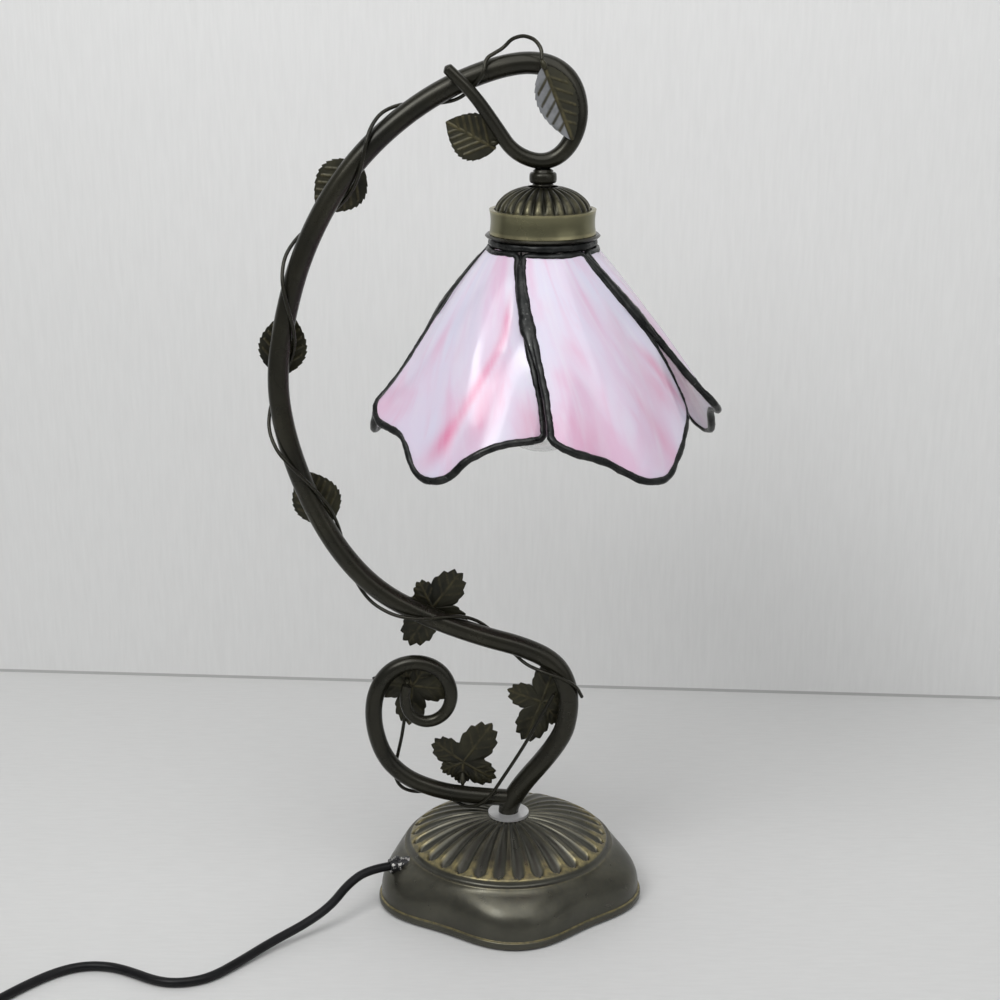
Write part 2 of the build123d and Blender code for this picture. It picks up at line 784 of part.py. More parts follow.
lampholder_cap = turned(
    [
        (head_nipple_radius + thread_clearance, holder_top),
        (holder_radius - holder_cap_height / 2, holder_top),
        (holder_radius, holder_top - holder_cap_height / 2),
        (holder_radius, holder_body_top),
        (holder_radius - holder_wall, holder_body_top),
        (holder_radius - holder_wall, holder_top - holder_wall),
        (head_nipple_radius + thread_clearance, holder_top - holder_wall),
    ]
)
shell_bore = shell_radius + holder_clearance
lampholder_body = turned(
    [
        (wire_bore_radius, holder_body_top),
        (holder_radius, holder_body_top),
        (holder_radius, holder_bottom),
        (shell_bore, holder_bottom),
        (shell_bore, contact_top),
        (wire_bore_radius, contact_top),
    ]
)
shell_top = contact_top - part_gap
lampholder_shell = turned(
    [
        (shell_radius, shell_top),
        (shell_radius, shell_top - shell_length),
        (shell_radius - shell_wall, shell_top - shell_length),
        (shell_radius - shell_wall, shell_top - shell_wall),
        (contact_radius + 2 * part_gap, shell_top - shell_wall),
        (contact_radius + 2 * part_gap, shell_top),
    ]
)
lampholder_contact = turned(
    [
        (0, contact_top - part_gap),
        (contact_radius, contact_top - part_gap),
        (contact_radius, contact_top - part_gap - contact_height / 2),
        (contact_radius / 2, contact_top - part_gap - contact_height),
        (0, contact_top - part_gap - contact_height),
    ]
)
ring_nut_top = flange_bottom - seat_gap
lampholder_ring = turned(
    [
        (holder_radius + thread_clearance, ring_nut_top),
        (ring_nut_radius, ring_nut_top),
        (ring_nut_radius, ring_nut_top - ring_nut_height + 1),
        (ring_nut_radius - 1, ring_nut_top - ring_nut_height),
        (holder_radius + thread_clearance, ring_nut_top - ring_nut_height),
    ]
)

bulb_top = contact_top - part_gap - contact_height - part_gap
bulb_cap_bottom = bulb_top - bulb_cap_length
bulb_bottom = bulb_top - bulb_length
bulb_centre = bulb_bottom + bulb_radius
bulb_cap = turned(
    [
        (0, bulb_top),
        (bulb_tip_radius, bulb_top),
        (bulb_tip_radius + 1, bulb_top - bulb_tip_height),
        (bulb_cap_radius, bulb_top - 2 * bulb_tip_height),
        (bulb_cap_radius, bulb_cap_bottom),
        (bulb_cap_radius - 1, bulb_cap_bottom),
        (bulb_cap_radius - 1, bulb_top - 2 * bulb_tip_height - 1),
        (0, bulb_top - 2 * bulb_tip_height - 1),
    ]
)


def bulb_skin(inset):
    """The bulb's solid outline, drawn in by a wall."""
    neck_top = bulb_cap_bottom
    radius = bulb_radius - inset
    neck = bulb_neck_radius - inset
    shoulder = (head_x + radius * math.cos(math.radians(35)), bulb_centre + radius * math.sin(math.radians(35)))
    with BuildPart() as made:
        with BuildSketch(Plane.XZ):
            with BuildLine():
                Line((head_x, bulb_centre - radius), (head_x, neck_top))
                Line((head_x, neck_top), (head_x + neck, neck_top))
                Bezier(
                    (head_x + neck, neck_top),
                    (head_x + neck, neck_top - bulb_shoulder),
                    (shoulder[0] - bulb_shoulder * 0.45, shoulder[1] + bulb_shoulder * 0.64),
                    shoulder,
                )
                ThreePointArc(shoulder, (head_x + radius, bulb_centre), (head_x, bulb_centre - radius))
            make_face()
        revolve(axis=head_axis)
    return made.part


with BuildPart() as bulb_glass:
    add(bulb_skin(0))
    add(bulb_skin(bulb_wall), mode=Mode.SUBTRACT)

bulb_stem = turned(
    [
        (0, bulb_cap_bottom),
        (bulb_neck_radius - bulb_wall - part_gap, bulb_cap_bottom),
        (filament_circle - filament_radius - part_gap, bulb_cap_bottom - bulb_stem_length / 3),
        (bulb_stem_tip_radius, bulb_cap_bottom - bulb_stem_length),
        (bulb_stem_tip_radius, bulb_cap_bottom - bulb_stem_length - filament_length),
        (0, bulb_cap_bottom - bulb_stem_length - filament_length),
    ]
)
with BuildPart() as bulb_filaments:
    with BuildSketch(head_plane.offset(bulb_cap_bottom - bulb_stem_length)):
        with PolarLocations(bulb_stem_tip_radius + part_gap + filament_radius, filament_count):
            Circle(filament_radius)
    extrude(amount=-filament_length)


# Shade: flange, neck band, bent glass petals and their solder frames

shade_ring = turned(
    [
        (holder_radius + holder_clearance, flange_top),
        (flange_radius - flange_thickness / 2, flange_top),
        (flange_radius, (flange_top + flange_bottom) / 2),
        (flange_radius - flange_thickness / 2, flange_bottom),
        (holder_radius + holder_clearance, flange_bottom),
    ]
)
band_outer_radius = neck_radius + neck_band_wall / 2
neck_bottom = flange_bottom - neck_band_height
neck_band = turned(
    [
        (band_outer_radius, flange_bottom),
        (band_outer_radius, neck_bottom),
        (band_outer_radius - neck_band_wall, neck_bottom),
        (band_outer_radius - neck_band_wall, flange_bottom),
    ]
)
petal_top = neck_bottom - neck_gap
petal_length = math.hypot(seam_radius - neck_radius, edge_drop)


def swell(share):
    """One rounded wave: 1 in the middle of a petal, 0 towards its edges."""
    return (1 + math.cos(math.pi * min(1.0, abs(share - 0.5) / lobe_half_width))) / 2


def petal_point(across_share, down_share):
    """A point of the petal's middle surface, from its flared to its tucked edge and from neck to rim."""
    edge = (2 * across_share - 1) ** 2
    parted = max(0.0, (down_share - part_share) / (1 - part_share)) ** part_power
    rim_radius = flare_radius + (tuck_radius - flare_radius) * across_share + lobe_out * swell(across_share)
    rise = math.sin(math.pi * down_share)
    own = neck_radius + (rim_radius - neck_radius) * down_share + petal_belly * rise * (1 - edge)
    seam = neck_radius + (seam_radius - neck_radius) * down_share + seam_belly * rise
    joined = edge * (1 - parted)
    radius = own * (1 - joined) + seam * joined
    drop = (edge_drop + lobe_drop * swell(across_share)) * down_share
    turn = petal_turn + 360 / petals * across_share + petal_twist * (1 - (1 - down_share) ** 2)
    angle = math.radians(turn)
    return Vector(head_x + radius * math.cos(angle), radius * math.sin(angle), petal_top - drop)


def petal_place(inset, column_share, row_share):
    """A point of the petal drawn in from its outline by an inset, by shares across and down."""
    down = (inset + (petal_length - 2 * inset) * row_share) / petal_length
    width = 2 * math.pi / petals * (neck_radius + (seam_radius - neck_radius) * down)
    share = (inset + (width - 2 * inset) * column_share) / width
    from_edge = min(share, 1 - share) / corner_share
    rounded = 1 - corner_cut * max(0.0, 1 - from_edge) ** 2
    return petal_point(share, down * rounded)


glass_inset = bead_gap / 2 + 2 * bead_radius + groove_clearance
bead_inset = bead_gap / 2 + bead_radius

with BuildPart() as petal_glass:
    glass_rows = []
    for column in range(petal_columns):
        column_share = column / (petal_columns - 1)
        points = []
        for row in range(petal_rows):
            row_share = row / (petal_rows - 1)
            here = petal_place(glass_inset, column_share, row_share)
            along = petal_place(glass_inset, column_share, row_share + small_step) - here
            aside = petal_place(glass_inset, column_share + small_step, row_share) - here
            points.append(here - along.cross(aside).normalized() * (glass_thickness / 2))
        glass_rows.append(points)
    thicken(Face.make_surface_from_array_of_points(glass_rows), glass_thickness)
    fillet(petal_glass.edges().sort_by(SortBy.LENGTH)[:4], glass_corner)



def spaced(steps, length):
    """Shares along one side of the border, kept a corner's length away from both of its ends."""
    first = bead_corner / length
    return [first + (1 - 2 * first) * step / steps for step in range(steps + 1)]


neck_length = 2 * math.pi / petals * neck_radius
rim_length = 2 * math.pi / petals * seam_radius
side_shares = spaced(bead_steps, petal_length)
rim_shares = spaced(bead_steps, rim_length)
neck_shares = spaced(bead_neck_steps, neck_length)
half_neck = bead_neck_steps // 2
border = [petal_place(bead_inset, 0.5 - bead_end_gap / neck_length, 0)]
border += [petal_place(bead_inset, share, 0) for share in reversed(neck_shares[:half_neck])]
border += [petal_place(bead_inset, 0, share) for share in side_shares]
border += [petal_place(bead_inset, share, 1) for share in rim_shares]
border += [petal_place(bead_inset, 1, share) for share in reversed(side_shares)]
border += [petal_place(bead_inset, share, 0) for share in reversed(neck_shares[-half_neck:])]
border += [petal_place(bead_inset, 0.5 + bead_end_gap / neck_length, 0)]

came_bead = tube(border, bead_radius)

petal_parts = [petal_glass.part.rotate(head_axis, 360 / petals * place) for place in range(petals)]
came_parts = [came_bead.rotate(head_axis, 360 / petals * place) for place in range(petals)]


# Lead: gland, cord, switch, coil and plug

with BuildPart() as cord_gland:
    with BuildSketch(gland_axis.offset(gland_inner)):
        Circle(gland_radius)
    extrude(amount=gland_reach - gland_inner)
    with BuildSketch(gland_axis.offset(gland_seat)):
        Circle(gland_flange_radius)
    extrude(amount=gland_flange)

cord_start = gland_axis.offset(gland_reach).origin
cord_second = gland_axis.offset(gland_reach + gland_straight).origin
switch_direction = Vector(*switch_heading)
switch_middle_height = switch_lower_height
switch_near = Vector(*switch_entry, switch_middle_height)
switch_far = switch_near + switch_direction * switch_length
lead_end = switch_near - switch_direction * cord_end_gap
lead_path = [tuple(cord_start), tuple(cord_second)] + lead_turns + [tuple(lead_end)]
cord_lead = tube(lead_path, cord_radius)

switch_plane = Plane(
    switch_near + switch_direction * (switch_length / 2), x_dir=switch_direction, z_dir=(0, 0, 1)
)
rocker_top = switch_upper_height + rocker_rise
pivot_height = switch_upper_height - switch_wall

with BuildPart() as switch_lower:
    with BuildSketch(switch_plane):
        RectangleRounded(switch_length, switch_width, switch_round)
    extrude(amount=-switch_lower_height)
    with BuildSketch(switch_plane):
        Rectangle(rocker_length + 2 * switch_wall, switch_width - 2 * switch_wall)
    extrude(amount=-(switch_lower_height - switch_wall), mode=Mode.SUBTRACT)

with BuildPart() as switch_upper:
    with BuildSketch(switch_plane):
        RectangleRounded(switch_length, switch_width, switch_round)
    extrude(amount=switch_upper_height)
    fillet(switch_upper.faces().sort_by(Axis.Z)[-1].edges(), switch_wall)
    with BuildSketch(switch_plane):
        Rectangle(rocker_length + 2 * rocker_gap, rocker_width + 2 * rocker_gap)
    extrude(amount=switch_upper_height, mode=Mode.SUBTRACT)
    with BuildSketch(switch_plane):
        Rectangle(rocker_length + 2 * switch_wall, switch_width - 2 * switch_wall)
    extrude(amount=switch_upper_height - 2 * switch_wall, mode=Mode.SUBTRACT)
    with BuildSketch(Plane(switch_plane.origin, x_dir=switch_direction, z_dir=switch_plane.y_dir)):
        with Locations((0, -pivot_height)):
            Circle(rocker_pivot_radius + pivot_clearance)
    extrude(amount=rocker_width / 2 + switch_wall, both=True, mode=Mode.SUBTRACT)

with BuildPart() as switch_rocker:
    slope = math.tan(math.radians(rocker_travel / 2))
    half = rocker_length / 2
    with BuildSketch(Plane(switch_plane.origin, x_dir=switch_direction, z_dir=-switch_plane.y_dir)):
        with BuildLine():
            Polyline(
                (-half, pivot_height),
                (-half, rocker_top + half * slope),
                (0, rocker_top),
                (half, rocker_top - half * slope),
                (half, pivot_height - half * slope),
                (0, pivot_height - rocker_depth),
                close=True,
            )
        make_face()
    extrude(amount=rocker_width / 2, both=True)
    with BuildSketch(Plane(switch_plane.origin, x_dir=switch_direction, z_dir=-switch_plane.y_dir)):
        with Locations((0, pivot_height)):
            Circle(half)
    extrude(amount=rocker_width / 2, both=True, mode=Mode.INTERSECT)
    with BuildSketch(Plane(switch_plane.origin, x_dir=switch_direction, z_dir=-switch_plane.y_dir)):
        with Locations((0, pivot_height)):
            Circle(rocker_pivot_radius)
    extrude(amount=rocker_width / 2 + switch_wall - rocker_gap, both=True)

# The coil: half turns that spiral in and out, layer on layer, climbing where the spiral reverses
coil_west = Vector(coil_centre[0] - coil_start_radius, coil_centre[1], coil_rest)
coil_arcs = []
here = coil_west
for place, end in enumerate(coil_ends):
    side = -1 if place % 2 else 1
    climb = coil_layer if place in coil_climbs else 0.0
    there = Vector(coil_centre[0] + side * end, coil_centre[1], here.Z + climb)
    bow = (here + there) * 0.5 + Vector(0, side * (there - here).length / 2, 0)
    coil_arcs.append((here, bow, there))
    here = there
coil_end = here

with BuildPart() as cord_coil:
    with BuildLine() as coil_run:
        Line(coil_west - Vector(0, 2 * cord_radius, 0), coil_west)
        for first, bow, last_point in coil_arcs:
            ThreePointArc(first, bow, last_point)
        Line(coil_end, coil_end + Vector(0, 2 * cord_radius, 0))
    with BuildSketch(across(coil_run.line, 0)):
        Circle(cord_radius)
    sweep(path=coil_run.line)

link_start = switch_far + switch_direction * cord_end_gap
link_path = [tuple(link_start)] + link_turns + [tuple(coil_west - Vector(0, 2 * cord_radius, 0))]
cord_link = tube(link_path, cord_radius)
plug_entry = Vector(*plug_start, plug_axis_height)
tail_end = plug_entry - Vector(cord_end_gap, 0, 0)
tail_path = [tuple(coil_end + Vector(0, 2 * cord_radius, 0))] + tail_cord_turns + [tuple(tail_end)]
cord_tail = tube(tail_path, cord_radius)

tie_low = coil_rest - cord_radius - tie_clearance
tie_high = coil_end.Z + cord_radius + tie_clearance
tie_near = max(coil_ends[0::2]) + cord_radius + tie_clearance
tie_far = min(coil_ends[0::2]) - cord_radius - tie_clearance
with BuildPart() as cord_tie:
    with BuildSketch(Plane.XZ.offset(-coil_centre[1])):
        with Locations((coil_centre[0] + (tie_near + tie_far) / 2, (tie_low + tie_high) / 2)):
            Rectangle(tie_near - tie_far + 2 * tie_thickness, tie_high - tie_low + 2 * tie_thickness)
            Rectangle(tie_near - tie_far, tie_high - tie_low, mode=Mode.SUBTRACT)
    extrude(amount=tie_width / 2, both=True)

plug_plane = Plane(plug_entry, x_dir=(0, 1, 0), z_dir=(1, 0, 0))
with BuildPart() as plug_body:
    with BuildSketch(plug_plane):
        RectangleRounded(plug_width * 0.55, plug_height * 0.55, plug_round / 2)
    with BuildSketch(plug_plane.offset(plug_length * 0.45)):
        RectangleRounded(plug_width, plug_height, plug_round)
    loft()
    with BuildSketch(plug_plane.offset(plug_length * 0.45)):
        RectangleRounded(plug_width, plug_height, plug_round)
    extrude(amount=plug_length * 0.55)
    with BuildSketch(plug_plane.offset(plug_length)):
        with GridLocations(blade_spacing, 1, 2, 1):
            Rectangle(blade_thickness + 2 * blade_clearance, blade_width + 2 * blade_clearance)
    extrude(amount=-blade_root, mode=Mode.SUBTRACT)

with BuildPart() as plug_blades:
    with BuildSketch(plug_plane.offset(plug_length - blade_root + blade_clearance)):
        with GridLocations(blade_spacing, 1, 2, 1):
            Rectangle(blade_thickness, blade_width)
    extrude(amount=blade_root - blade_clearance + blade_length)


# Named files

pieces = {
    "base_casting": base_casting.part,
    "base_plate": base_plate.part,
    "base_screws": base_screws.part,
    "base_felt": base_felt.part,
    "stem_washer": stem_washer.part,
    "base_nipple": base_nipple.part,
    "base_lock_washer": base_lock_washer.part,
    "base_nut": base_nut.part,
    "stem_tube": stem_tube,
    "stem_loop": stem_loop.part,
    "scroll_tube": scroll_tube.part,
    "inner_wire": inner_wire,
    "vine_wire": vine_wire,
    "vine_tendril": vine_tendril,
    "ball_coupling": ball_coupling.part,
    "canopy": canopy.part,
    "fitter_collar": fitter_collar.part,
    "head_nipple": head_nipple.part,
    "head_nut": head_nut.part,
    "lampholder_cap": lampholder_cap,
    "lampholder_body": lampholder_body,
    "lampholder_shell": lampholder_shell,
    "lampholder_contact": lampholder_contact,
    "lampholder_ring": lampholder_ring,
    "bulb_cap": bulb_cap,
    "bulb_glass": bulb_glass.part,
    "bulb_stem": bulb_stem,
    "bulb_filaments": bulb_filaments.part,
    "shade_ring": shade_ring,
    "neck_band": neck_band,
    "cord_gland": cord_gland.part,
    "cord_lead": cord_lead,
    "switch_lower": switch_lower.part,
    "switch_upper": switch_upper.part,
    "switch_rocker": switch_rocker.part,
    "cord_link": cord_link,
    "cord_coil": cord_coil.part,
    "cord_tie": cord_tie.part,
    "cord_tail": cord_tail,
    "plug_body": plug_body.part,
    "plug_blades": plug_blades.part,
}
for place, made_leaf in enumerate(leaves, 1):
    pieces[f"leaf_{place}"] = made_leaf
for place, (glass, frame) in enumerate(zip(petal_parts, came_parts), 1):
    pieces[f"petal_{place}"] = glass
    pieces[f"came_{place}"] = frame
for label, piece in pieces.items():
    write(piece, label)


# Cord bends, coil gap and tube volumes, for the report

for label, points in (("lead", lead_path), ("link", link_path), ("tail", tail_path)):
    bends = " ".join(f"{radius:.0f}" for radius in corner_radii(points))
    print(f"cord {label} bend radii mm: {bends}")
coil_wire = Wire(coil_run.edges())
coil_points = [coil_wire.position_at(step / 1200) for step in range(1201)]
coil_length = coil_wire.length
least = min(
    (first - second).length
    for place, first in enumerate(coil_points)
    for second in coil_points[place + 40 :: 2]
)
print(f"coil length {coil_length:.0f} mm, least gap between its turns {least - 2 * cord_radius:.2f} mm")
section = math.pi * cord_radius**2
for label, run_line, made_tube in (
    ("lead", Wire(FilletPolyline(*lead_path, radius=corner_radii(lead_path)).edges()), cord_lead),
    ("link", Wire(FilletPolyline(*link_path, radius=corner_radii(link_path)).edges()), cord_link),
    ("tail", Wire(FilletPolyline(*tail_path, radius=corner_radii(tail_path)).edges()), cord_tail),
    ("coil", coil_wire, cord_coil.part),
):
    share = made_tube.volume / (section * run_line.length)
    print(f"cord {label} length {run_line.length:.0f} mm, volume share {share:.4f}")
for label, piece in pieces.items():
    solids = piece.solids()
    if len(solids) != 1 or not all(solid.is_valid for solid in solids):
        print(label, "solids", len(solids), "valid", [solid.is_valid for solid in solids])
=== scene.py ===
"""Looks of a table lamp: bent stem with a wire vine, flower shade of bent glass, lobed bronze base."""

import math

import bpy
from mathutils import Matrix, Vector, noise


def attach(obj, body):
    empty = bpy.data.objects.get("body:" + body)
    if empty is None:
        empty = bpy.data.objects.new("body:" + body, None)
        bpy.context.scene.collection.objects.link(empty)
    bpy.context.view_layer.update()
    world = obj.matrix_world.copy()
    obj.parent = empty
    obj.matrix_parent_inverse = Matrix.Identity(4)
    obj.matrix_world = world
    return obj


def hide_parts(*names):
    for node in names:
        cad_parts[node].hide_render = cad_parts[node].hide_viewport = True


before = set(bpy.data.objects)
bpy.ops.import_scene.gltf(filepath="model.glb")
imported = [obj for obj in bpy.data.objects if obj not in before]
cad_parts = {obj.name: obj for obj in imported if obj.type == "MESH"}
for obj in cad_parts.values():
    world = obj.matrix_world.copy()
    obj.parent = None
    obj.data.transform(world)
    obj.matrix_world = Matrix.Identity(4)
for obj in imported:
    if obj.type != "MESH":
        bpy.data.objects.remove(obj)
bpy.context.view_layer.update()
scene = bpy.context.scene
scene.view_settings.view_transform = "Standard"

MM = 0.001
HEAD_X = 17.6


# Meshes and curves. Lengths are given in millimetres and stored in metres.


def add_mesh(name, points, faces):
    """A smooth mesh object from points in millimetres."""
    mesh = bpy.data.meshes.new(name)
    mesh.from_pydata([Vector(p) * MM for p in points], [], faces)
    mesh.update()
    mesh.polygons.foreach_set("use_smooth", [True] * len(mesh.polygons))
    obj = bpy.data.objects.new(name, mesh)
    scene.collection.objects.link(obj)
    return obj


def grid_faces(columns, rows, wrap=False):
    """Quads of a grid whose points run row by row; wrap joins the last column to the first."""
    faces = []
    for row in range(rows - 1):
        for column in range(columns if wrap else columns - 1):
            after = (column + 1) % columns
            low = row * columns
            faces.append((low + column, low + after, low + columns + after, low + columns + column))
    return faces


def store(obj, name, values):
    """One number per point, for a material to read."""
    layer = obj.data.attributes.new(name, "FLOAT", "POINT")
    layer.data.foreach_set("value", values)


def add_curve(name, points, radius, resolution=8):
    """A round wire or cord on a smooth spline whose control points are the route's."""
    curve = bpy.data.curves.new(name, "CURVE")
    curve.dimensions = "3D"
    curve.bevel_depth = radius * MM
    curve.bevel_resolution = 5
    curve.resolution_u = resolution
    curve.use_fill_caps = True
    spline = curve.splines.new("NURBS")
    spline.points.add(len(points) - 1)
    for place, point in zip(spline.points, points):
        place.co = (*(Vector(point) * MM), 1)
    spline.order_u = 3
    spline.use_endpoint_u = True
    obj = bpy.data.objects.new(name, curve)
    scene.collection.objects.link(obj)
    return obj


SWELL_PLACE = 0.66
SWELL_SPREAD = 0.22


def bead(path, wide, high, outward, closed, rough, sides=12, seed=0.0, swell=0.0):
    """Points and faces of an uneven bead along a path: wide across it, high off it, with a fuller part."""
    count = len(path)
    points = []
    for place, here in enumerate(path):
        before = path[place - 1] if closed or place else here
        after = path[(place + 1) % count] if closed or place < count - 1 else here
        along = (after - before).normalized()
        up = outward(here)
        up = (up - along * up.dot(along)).normalized()
        side = along.cross(up)
        share = place / (count - 1)
        end = 1.0 if closed else min(1.0, 0.25 + 5 * share, 0.25 + 2.5 * (1 - share))
        for step in range(sides):
            turn = 2 * math.pi * step / sides
            lump = 1 + rough * noise.noise(here * 0.16 + Vector((seed, turn * 0.25, 0)))
            lump += rough * 0.6 * noise.noise(here * 0.5 + Vector((0, seed, math.cos(turn) * 0.6)))
            fuller = 1.0 if closed else 1 + swell * math.exp(-(((share - SWELL_PLACE) / SWELL_SPREAD) ** 2))
            reach = side * (wide * fuller * math.cos(turn)) + up * (high * math.sin(turn))
            points.append(here + reach * (lump * end))
    faces = grid_faces(sides, count, wrap=True)
    if closed:
        last = (count - 1) * sides
        faces += [(last + s, last + (s + 1) % sides, (s + 1) % sides, s) for s in range(sides)]
    else:
        faces += [tuple(reversed(range(sides))), tuple(range((count - 1) * sides, count * sides))]
    return points, faces


# Materials, all made of nodes


class Paint:
    """A material's nodes, with short names for the ones used here."""

    def __init__(self, name, rough, metal=0.0, color=(0.5, 0.5, 0.5)):
        self.material = bpy.data.materials.new(name)
        self.material.use_nodes = True
        self.tree = self.material.node_tree
        self.shader = self.tree.nodes["Principled BSDF"]
        self.shader.inputs["Roughness"].default_value = rough
        self.shader.inputs["Metallic"].default_value = metal
        self.shader.inputs["Base Color"].default_value = (*color, 1)
        self.place = self.tree.nodes.new("ShaderNodeTexCoord").outputs["Object"]

    def node(self, kind, **values):
        made = self.tree.nodes.new(kind)
        for key, value in values.items():
            setattr(made, key, value)
        return made

    def link(self, output, socket):
        self.tree.links.new(output, socket)

    def noise(self, scale, detail=4.0, place=None, distortion=0.0, stretch=None):
        made = self.node("ShaderNodeTexNoise")
        made.inputs["Scale"].default_value = scale
        made.inputs["Detail"].default_value = detail
        made.inputs["Distortion"].default_value = distortion
        place = place or self.place
        if stretch:
            mapping = self.node("ShaderNodeMapping")
            mapping.inputs["Scale"].default_value = stretch
            self.link(place, mapping.inputs["Vector"])
            place = mapping.outputs["Vector"]
        self.link(place, made.inputs["Vector"])
        return made.outputs["Fac"]

    def ramp(self, value, *stops):
        made = self.node("ShaderNodeValToRGB")
        elements = made.color_ramp.elements
        while len(elements) < len(stops):
            elements.new(0.5)
        for element, (position, color) in zip(elements, stops):
            element.position = position
            element.color = (*color, 1)
        self.link(value, made.inputs["Fac"])
        return made.outputs["Color"]

    def span(self, value, low, high, to_low=0.0, to_high=1.0):
        made = self.node("ShaderNodeMapRange")
        for name, number in (("From Min", low), ("From Max", high), ("To Min", to_low), ("To Max", to_high)):
            made.inputs[name].default_value = number
        self.link(value, made.inputs["Value"])
        return made.outputs["Result"]

    def math(self, operation, first, second):
        made = self.node("ShaderNodeMath", operation=operation)
        for socket, value in zip(made.inputs, (first, second)):
            if isinstance(value, (int, float)):
                socket.default_value = value
            else:
                self.link(value, socket)
        return made.outputs["Value"]

    def mix(self, share, first, second):
        made = self.node("ShaderNodeMix", data_type="RGBA")
        self.link(share, made.inputs["Factor"])
        for socket, value in ((made.inputs[6], first), (made.inputs[7], second)):
            if isinstance(value, tuple):
                socket.default_value = (*value, 1)
            else:
                self.link(value, socket)
        return made.outputs[2]

    def attribute(self, name):
        return self.node("ShaderNodeAttribute", attribute_name=name).outputs["Fac"]

    def uv(self):
        return self.node("ShaderNodeUVMap", uv_map="petal").outputs["UV"]

    def color(self, output):
        self.link(output, self.shader.inputs["Base Color"])

    def rough(self, output):
        self.link(output, self.shader.inputs["Roughness"])

    def bump(self, height, strength, distance):
        made = self.node("ShaderNodeBump")
        made.inputs["Strength"].default_value = strength
        made.inputs["Distance"].default_value = distance
        self.link(height, made.inputs["Height"])
        self.link(made.outputs["Normal"], self.shader.inputs["Normal"])


def mottled(name, dark, light, rough, metal, scale, grain, strength=0.15, gloss=0.5):
    """A finish that varies softly between two colours, with a fine grain in its gloss and surface."""
    paint = Paint(name, sum(rough) / 2, metal)
    paint.color(paint.ramp(paint.noise(scale), (0.3, dark), (0.72, light)))
    paint.rough(paint.span(paint.noise(scale * 2.3), 0.3, 0.7, *rough))
    paint.bump(paint.noise(grain, 3), strength, 0.0002)
    paint.shader.inputs["Specular IOR Level"].default_value = gloss
    return paint.material


def bronze_stem():
    """Dark bronze lacquer with a faint olive rub."""
    paint = Paint("bronze_stem", 0.4, 0.55)
    cloud = paint.noise(38, 5)
    speck = paint.noise(900, 2)
    tone = paint.ramp(cloud, (0.3, (0.014, 0.0135, 0.0095)), (0.7, (0.030, 0.028, 0.018)))
    paint.color(paint.mix(paint.span(speck, 0.62, 0.8, 0, 0.2), tone, (0.060, 0.054, 0.034)))
    paint.rough(paint.span(paint.noise(60), 0.3, 0.7, 0.23, 0.30))
    paint.bump(paint.noise(420, 2), 0.05, 0.0002)
    return paint.material


def bronze_rub_and_highlight(name, dark, light, gold):
    """Antique bronze whose raised places, given by an attribute, turn gold: polish, and on the base's ridge
    ring and the canopy's rib crests a painted highlight too.
    """
    paint = Paint(name, 0.38, 0.75)
    cloud = paint.noise(55, 5)
    tone = paint.ramp(cloud, (0.3, dark), (0.7, light))
    broken = paint.span(paint.noise(320, 4), 0.35, 0.62, 0.35, 1.0)
    # Gold share: rubbed polish, and painted highlight on the ridge ring and the rib crests.
    share = paint.math("MULTIPLY", paint.attribute("gold_share"), broken)
    paint.color(paint.mix(share, tone, gold))
    paint.rough(paint.span(paint.noise(180), 0.3, 0.7, 0.27, 0.36))
    paint.bump(paint.noise(900, 3), 0.14, 0.00025)
    return paint.material


# Heights in metres between which the collar's wear grows towards its top and its foot
COLLAR_TOP_RUB = (0.3922, 0.3934)
COLLAR_FOOT_RUB = (0.3834, 0.3824)


def collar_bronze():
    """Antique brass, worn bright along the top and bottom rims of the collar."""
    paint = Paint("collar_bronze", 0.32, 0.92)
    height = paint.node("ShaderNodeSeparateXYZ")
    paint.link(paint.place, height.inputs["Vector"])
    upper = paint.span(height.outputs["Z"], *COLLAR_TOP_RUB)
    lower = paint.span(height.outputs["Z"], *COLLAR_FOOT_RUB)
    rims = paint.math("MAXIMUM", upper, lower)
    pale_share = paint.math("MULTIPLY", rims, paint.span(paint.noise(240), 0.3, 0.6, 0.4, 1))
    tone = paint.ramp(paint.noise(45, 4), (0.3, (0.185, 0.176, 0.102)), (0.7, (0.215, 0.205, 0.122)))
    paint.color(paint.mix(pale_share, tone, (0.34, 0.31, 0.18)))
    paint.rough(paint.span(paint.noise(60), 0.3, 0.7, 0.26, 0.33))
    paint.bump(paint.noise(900, 2), 0.05, 0.0002)
    return paint.material


def bronze_leaf():
    """Dark stamped metal, paler along its raised veins, with a painted highlight in pale grey over the first
    leaf's lit half.
    """
    paint = Paint("bronze_leaf", 0.45, 0.5)
    tone = paint.ramp(paint.noise(70, 5), (0.3, (0.011, 0.011, 0.007)), (0.72, (0.044, 0.041, 0.021)))
    share = paint.math("MULTIPLY", paint.attribute("gold_share"), paint.span(paint.noise(260), 0.35, 0.65, 0.2, 1))
    tone = paint.mix(share, tone, (0.115, 0.098, 0.046))
    # Painted highlight: the first leaf's lit half mixed towards pale grey.
    pale_share = paint.math("MULTIPLY", paint.attribute("painted_lit_half"), paint.span(paint.noise(180), 0.3, 0.6, 0.6, 1))
    paint.color(paint.mix(pale_share, tone, (0.36, 0.37, 0.39)))
    paint.rough(paint.span(paint.noise(220), 0.3, 0.7, 0.36, 0.5))
    paint.bump(paint.noise(650, 3), 0.2, 0.0003)
    return paint.material


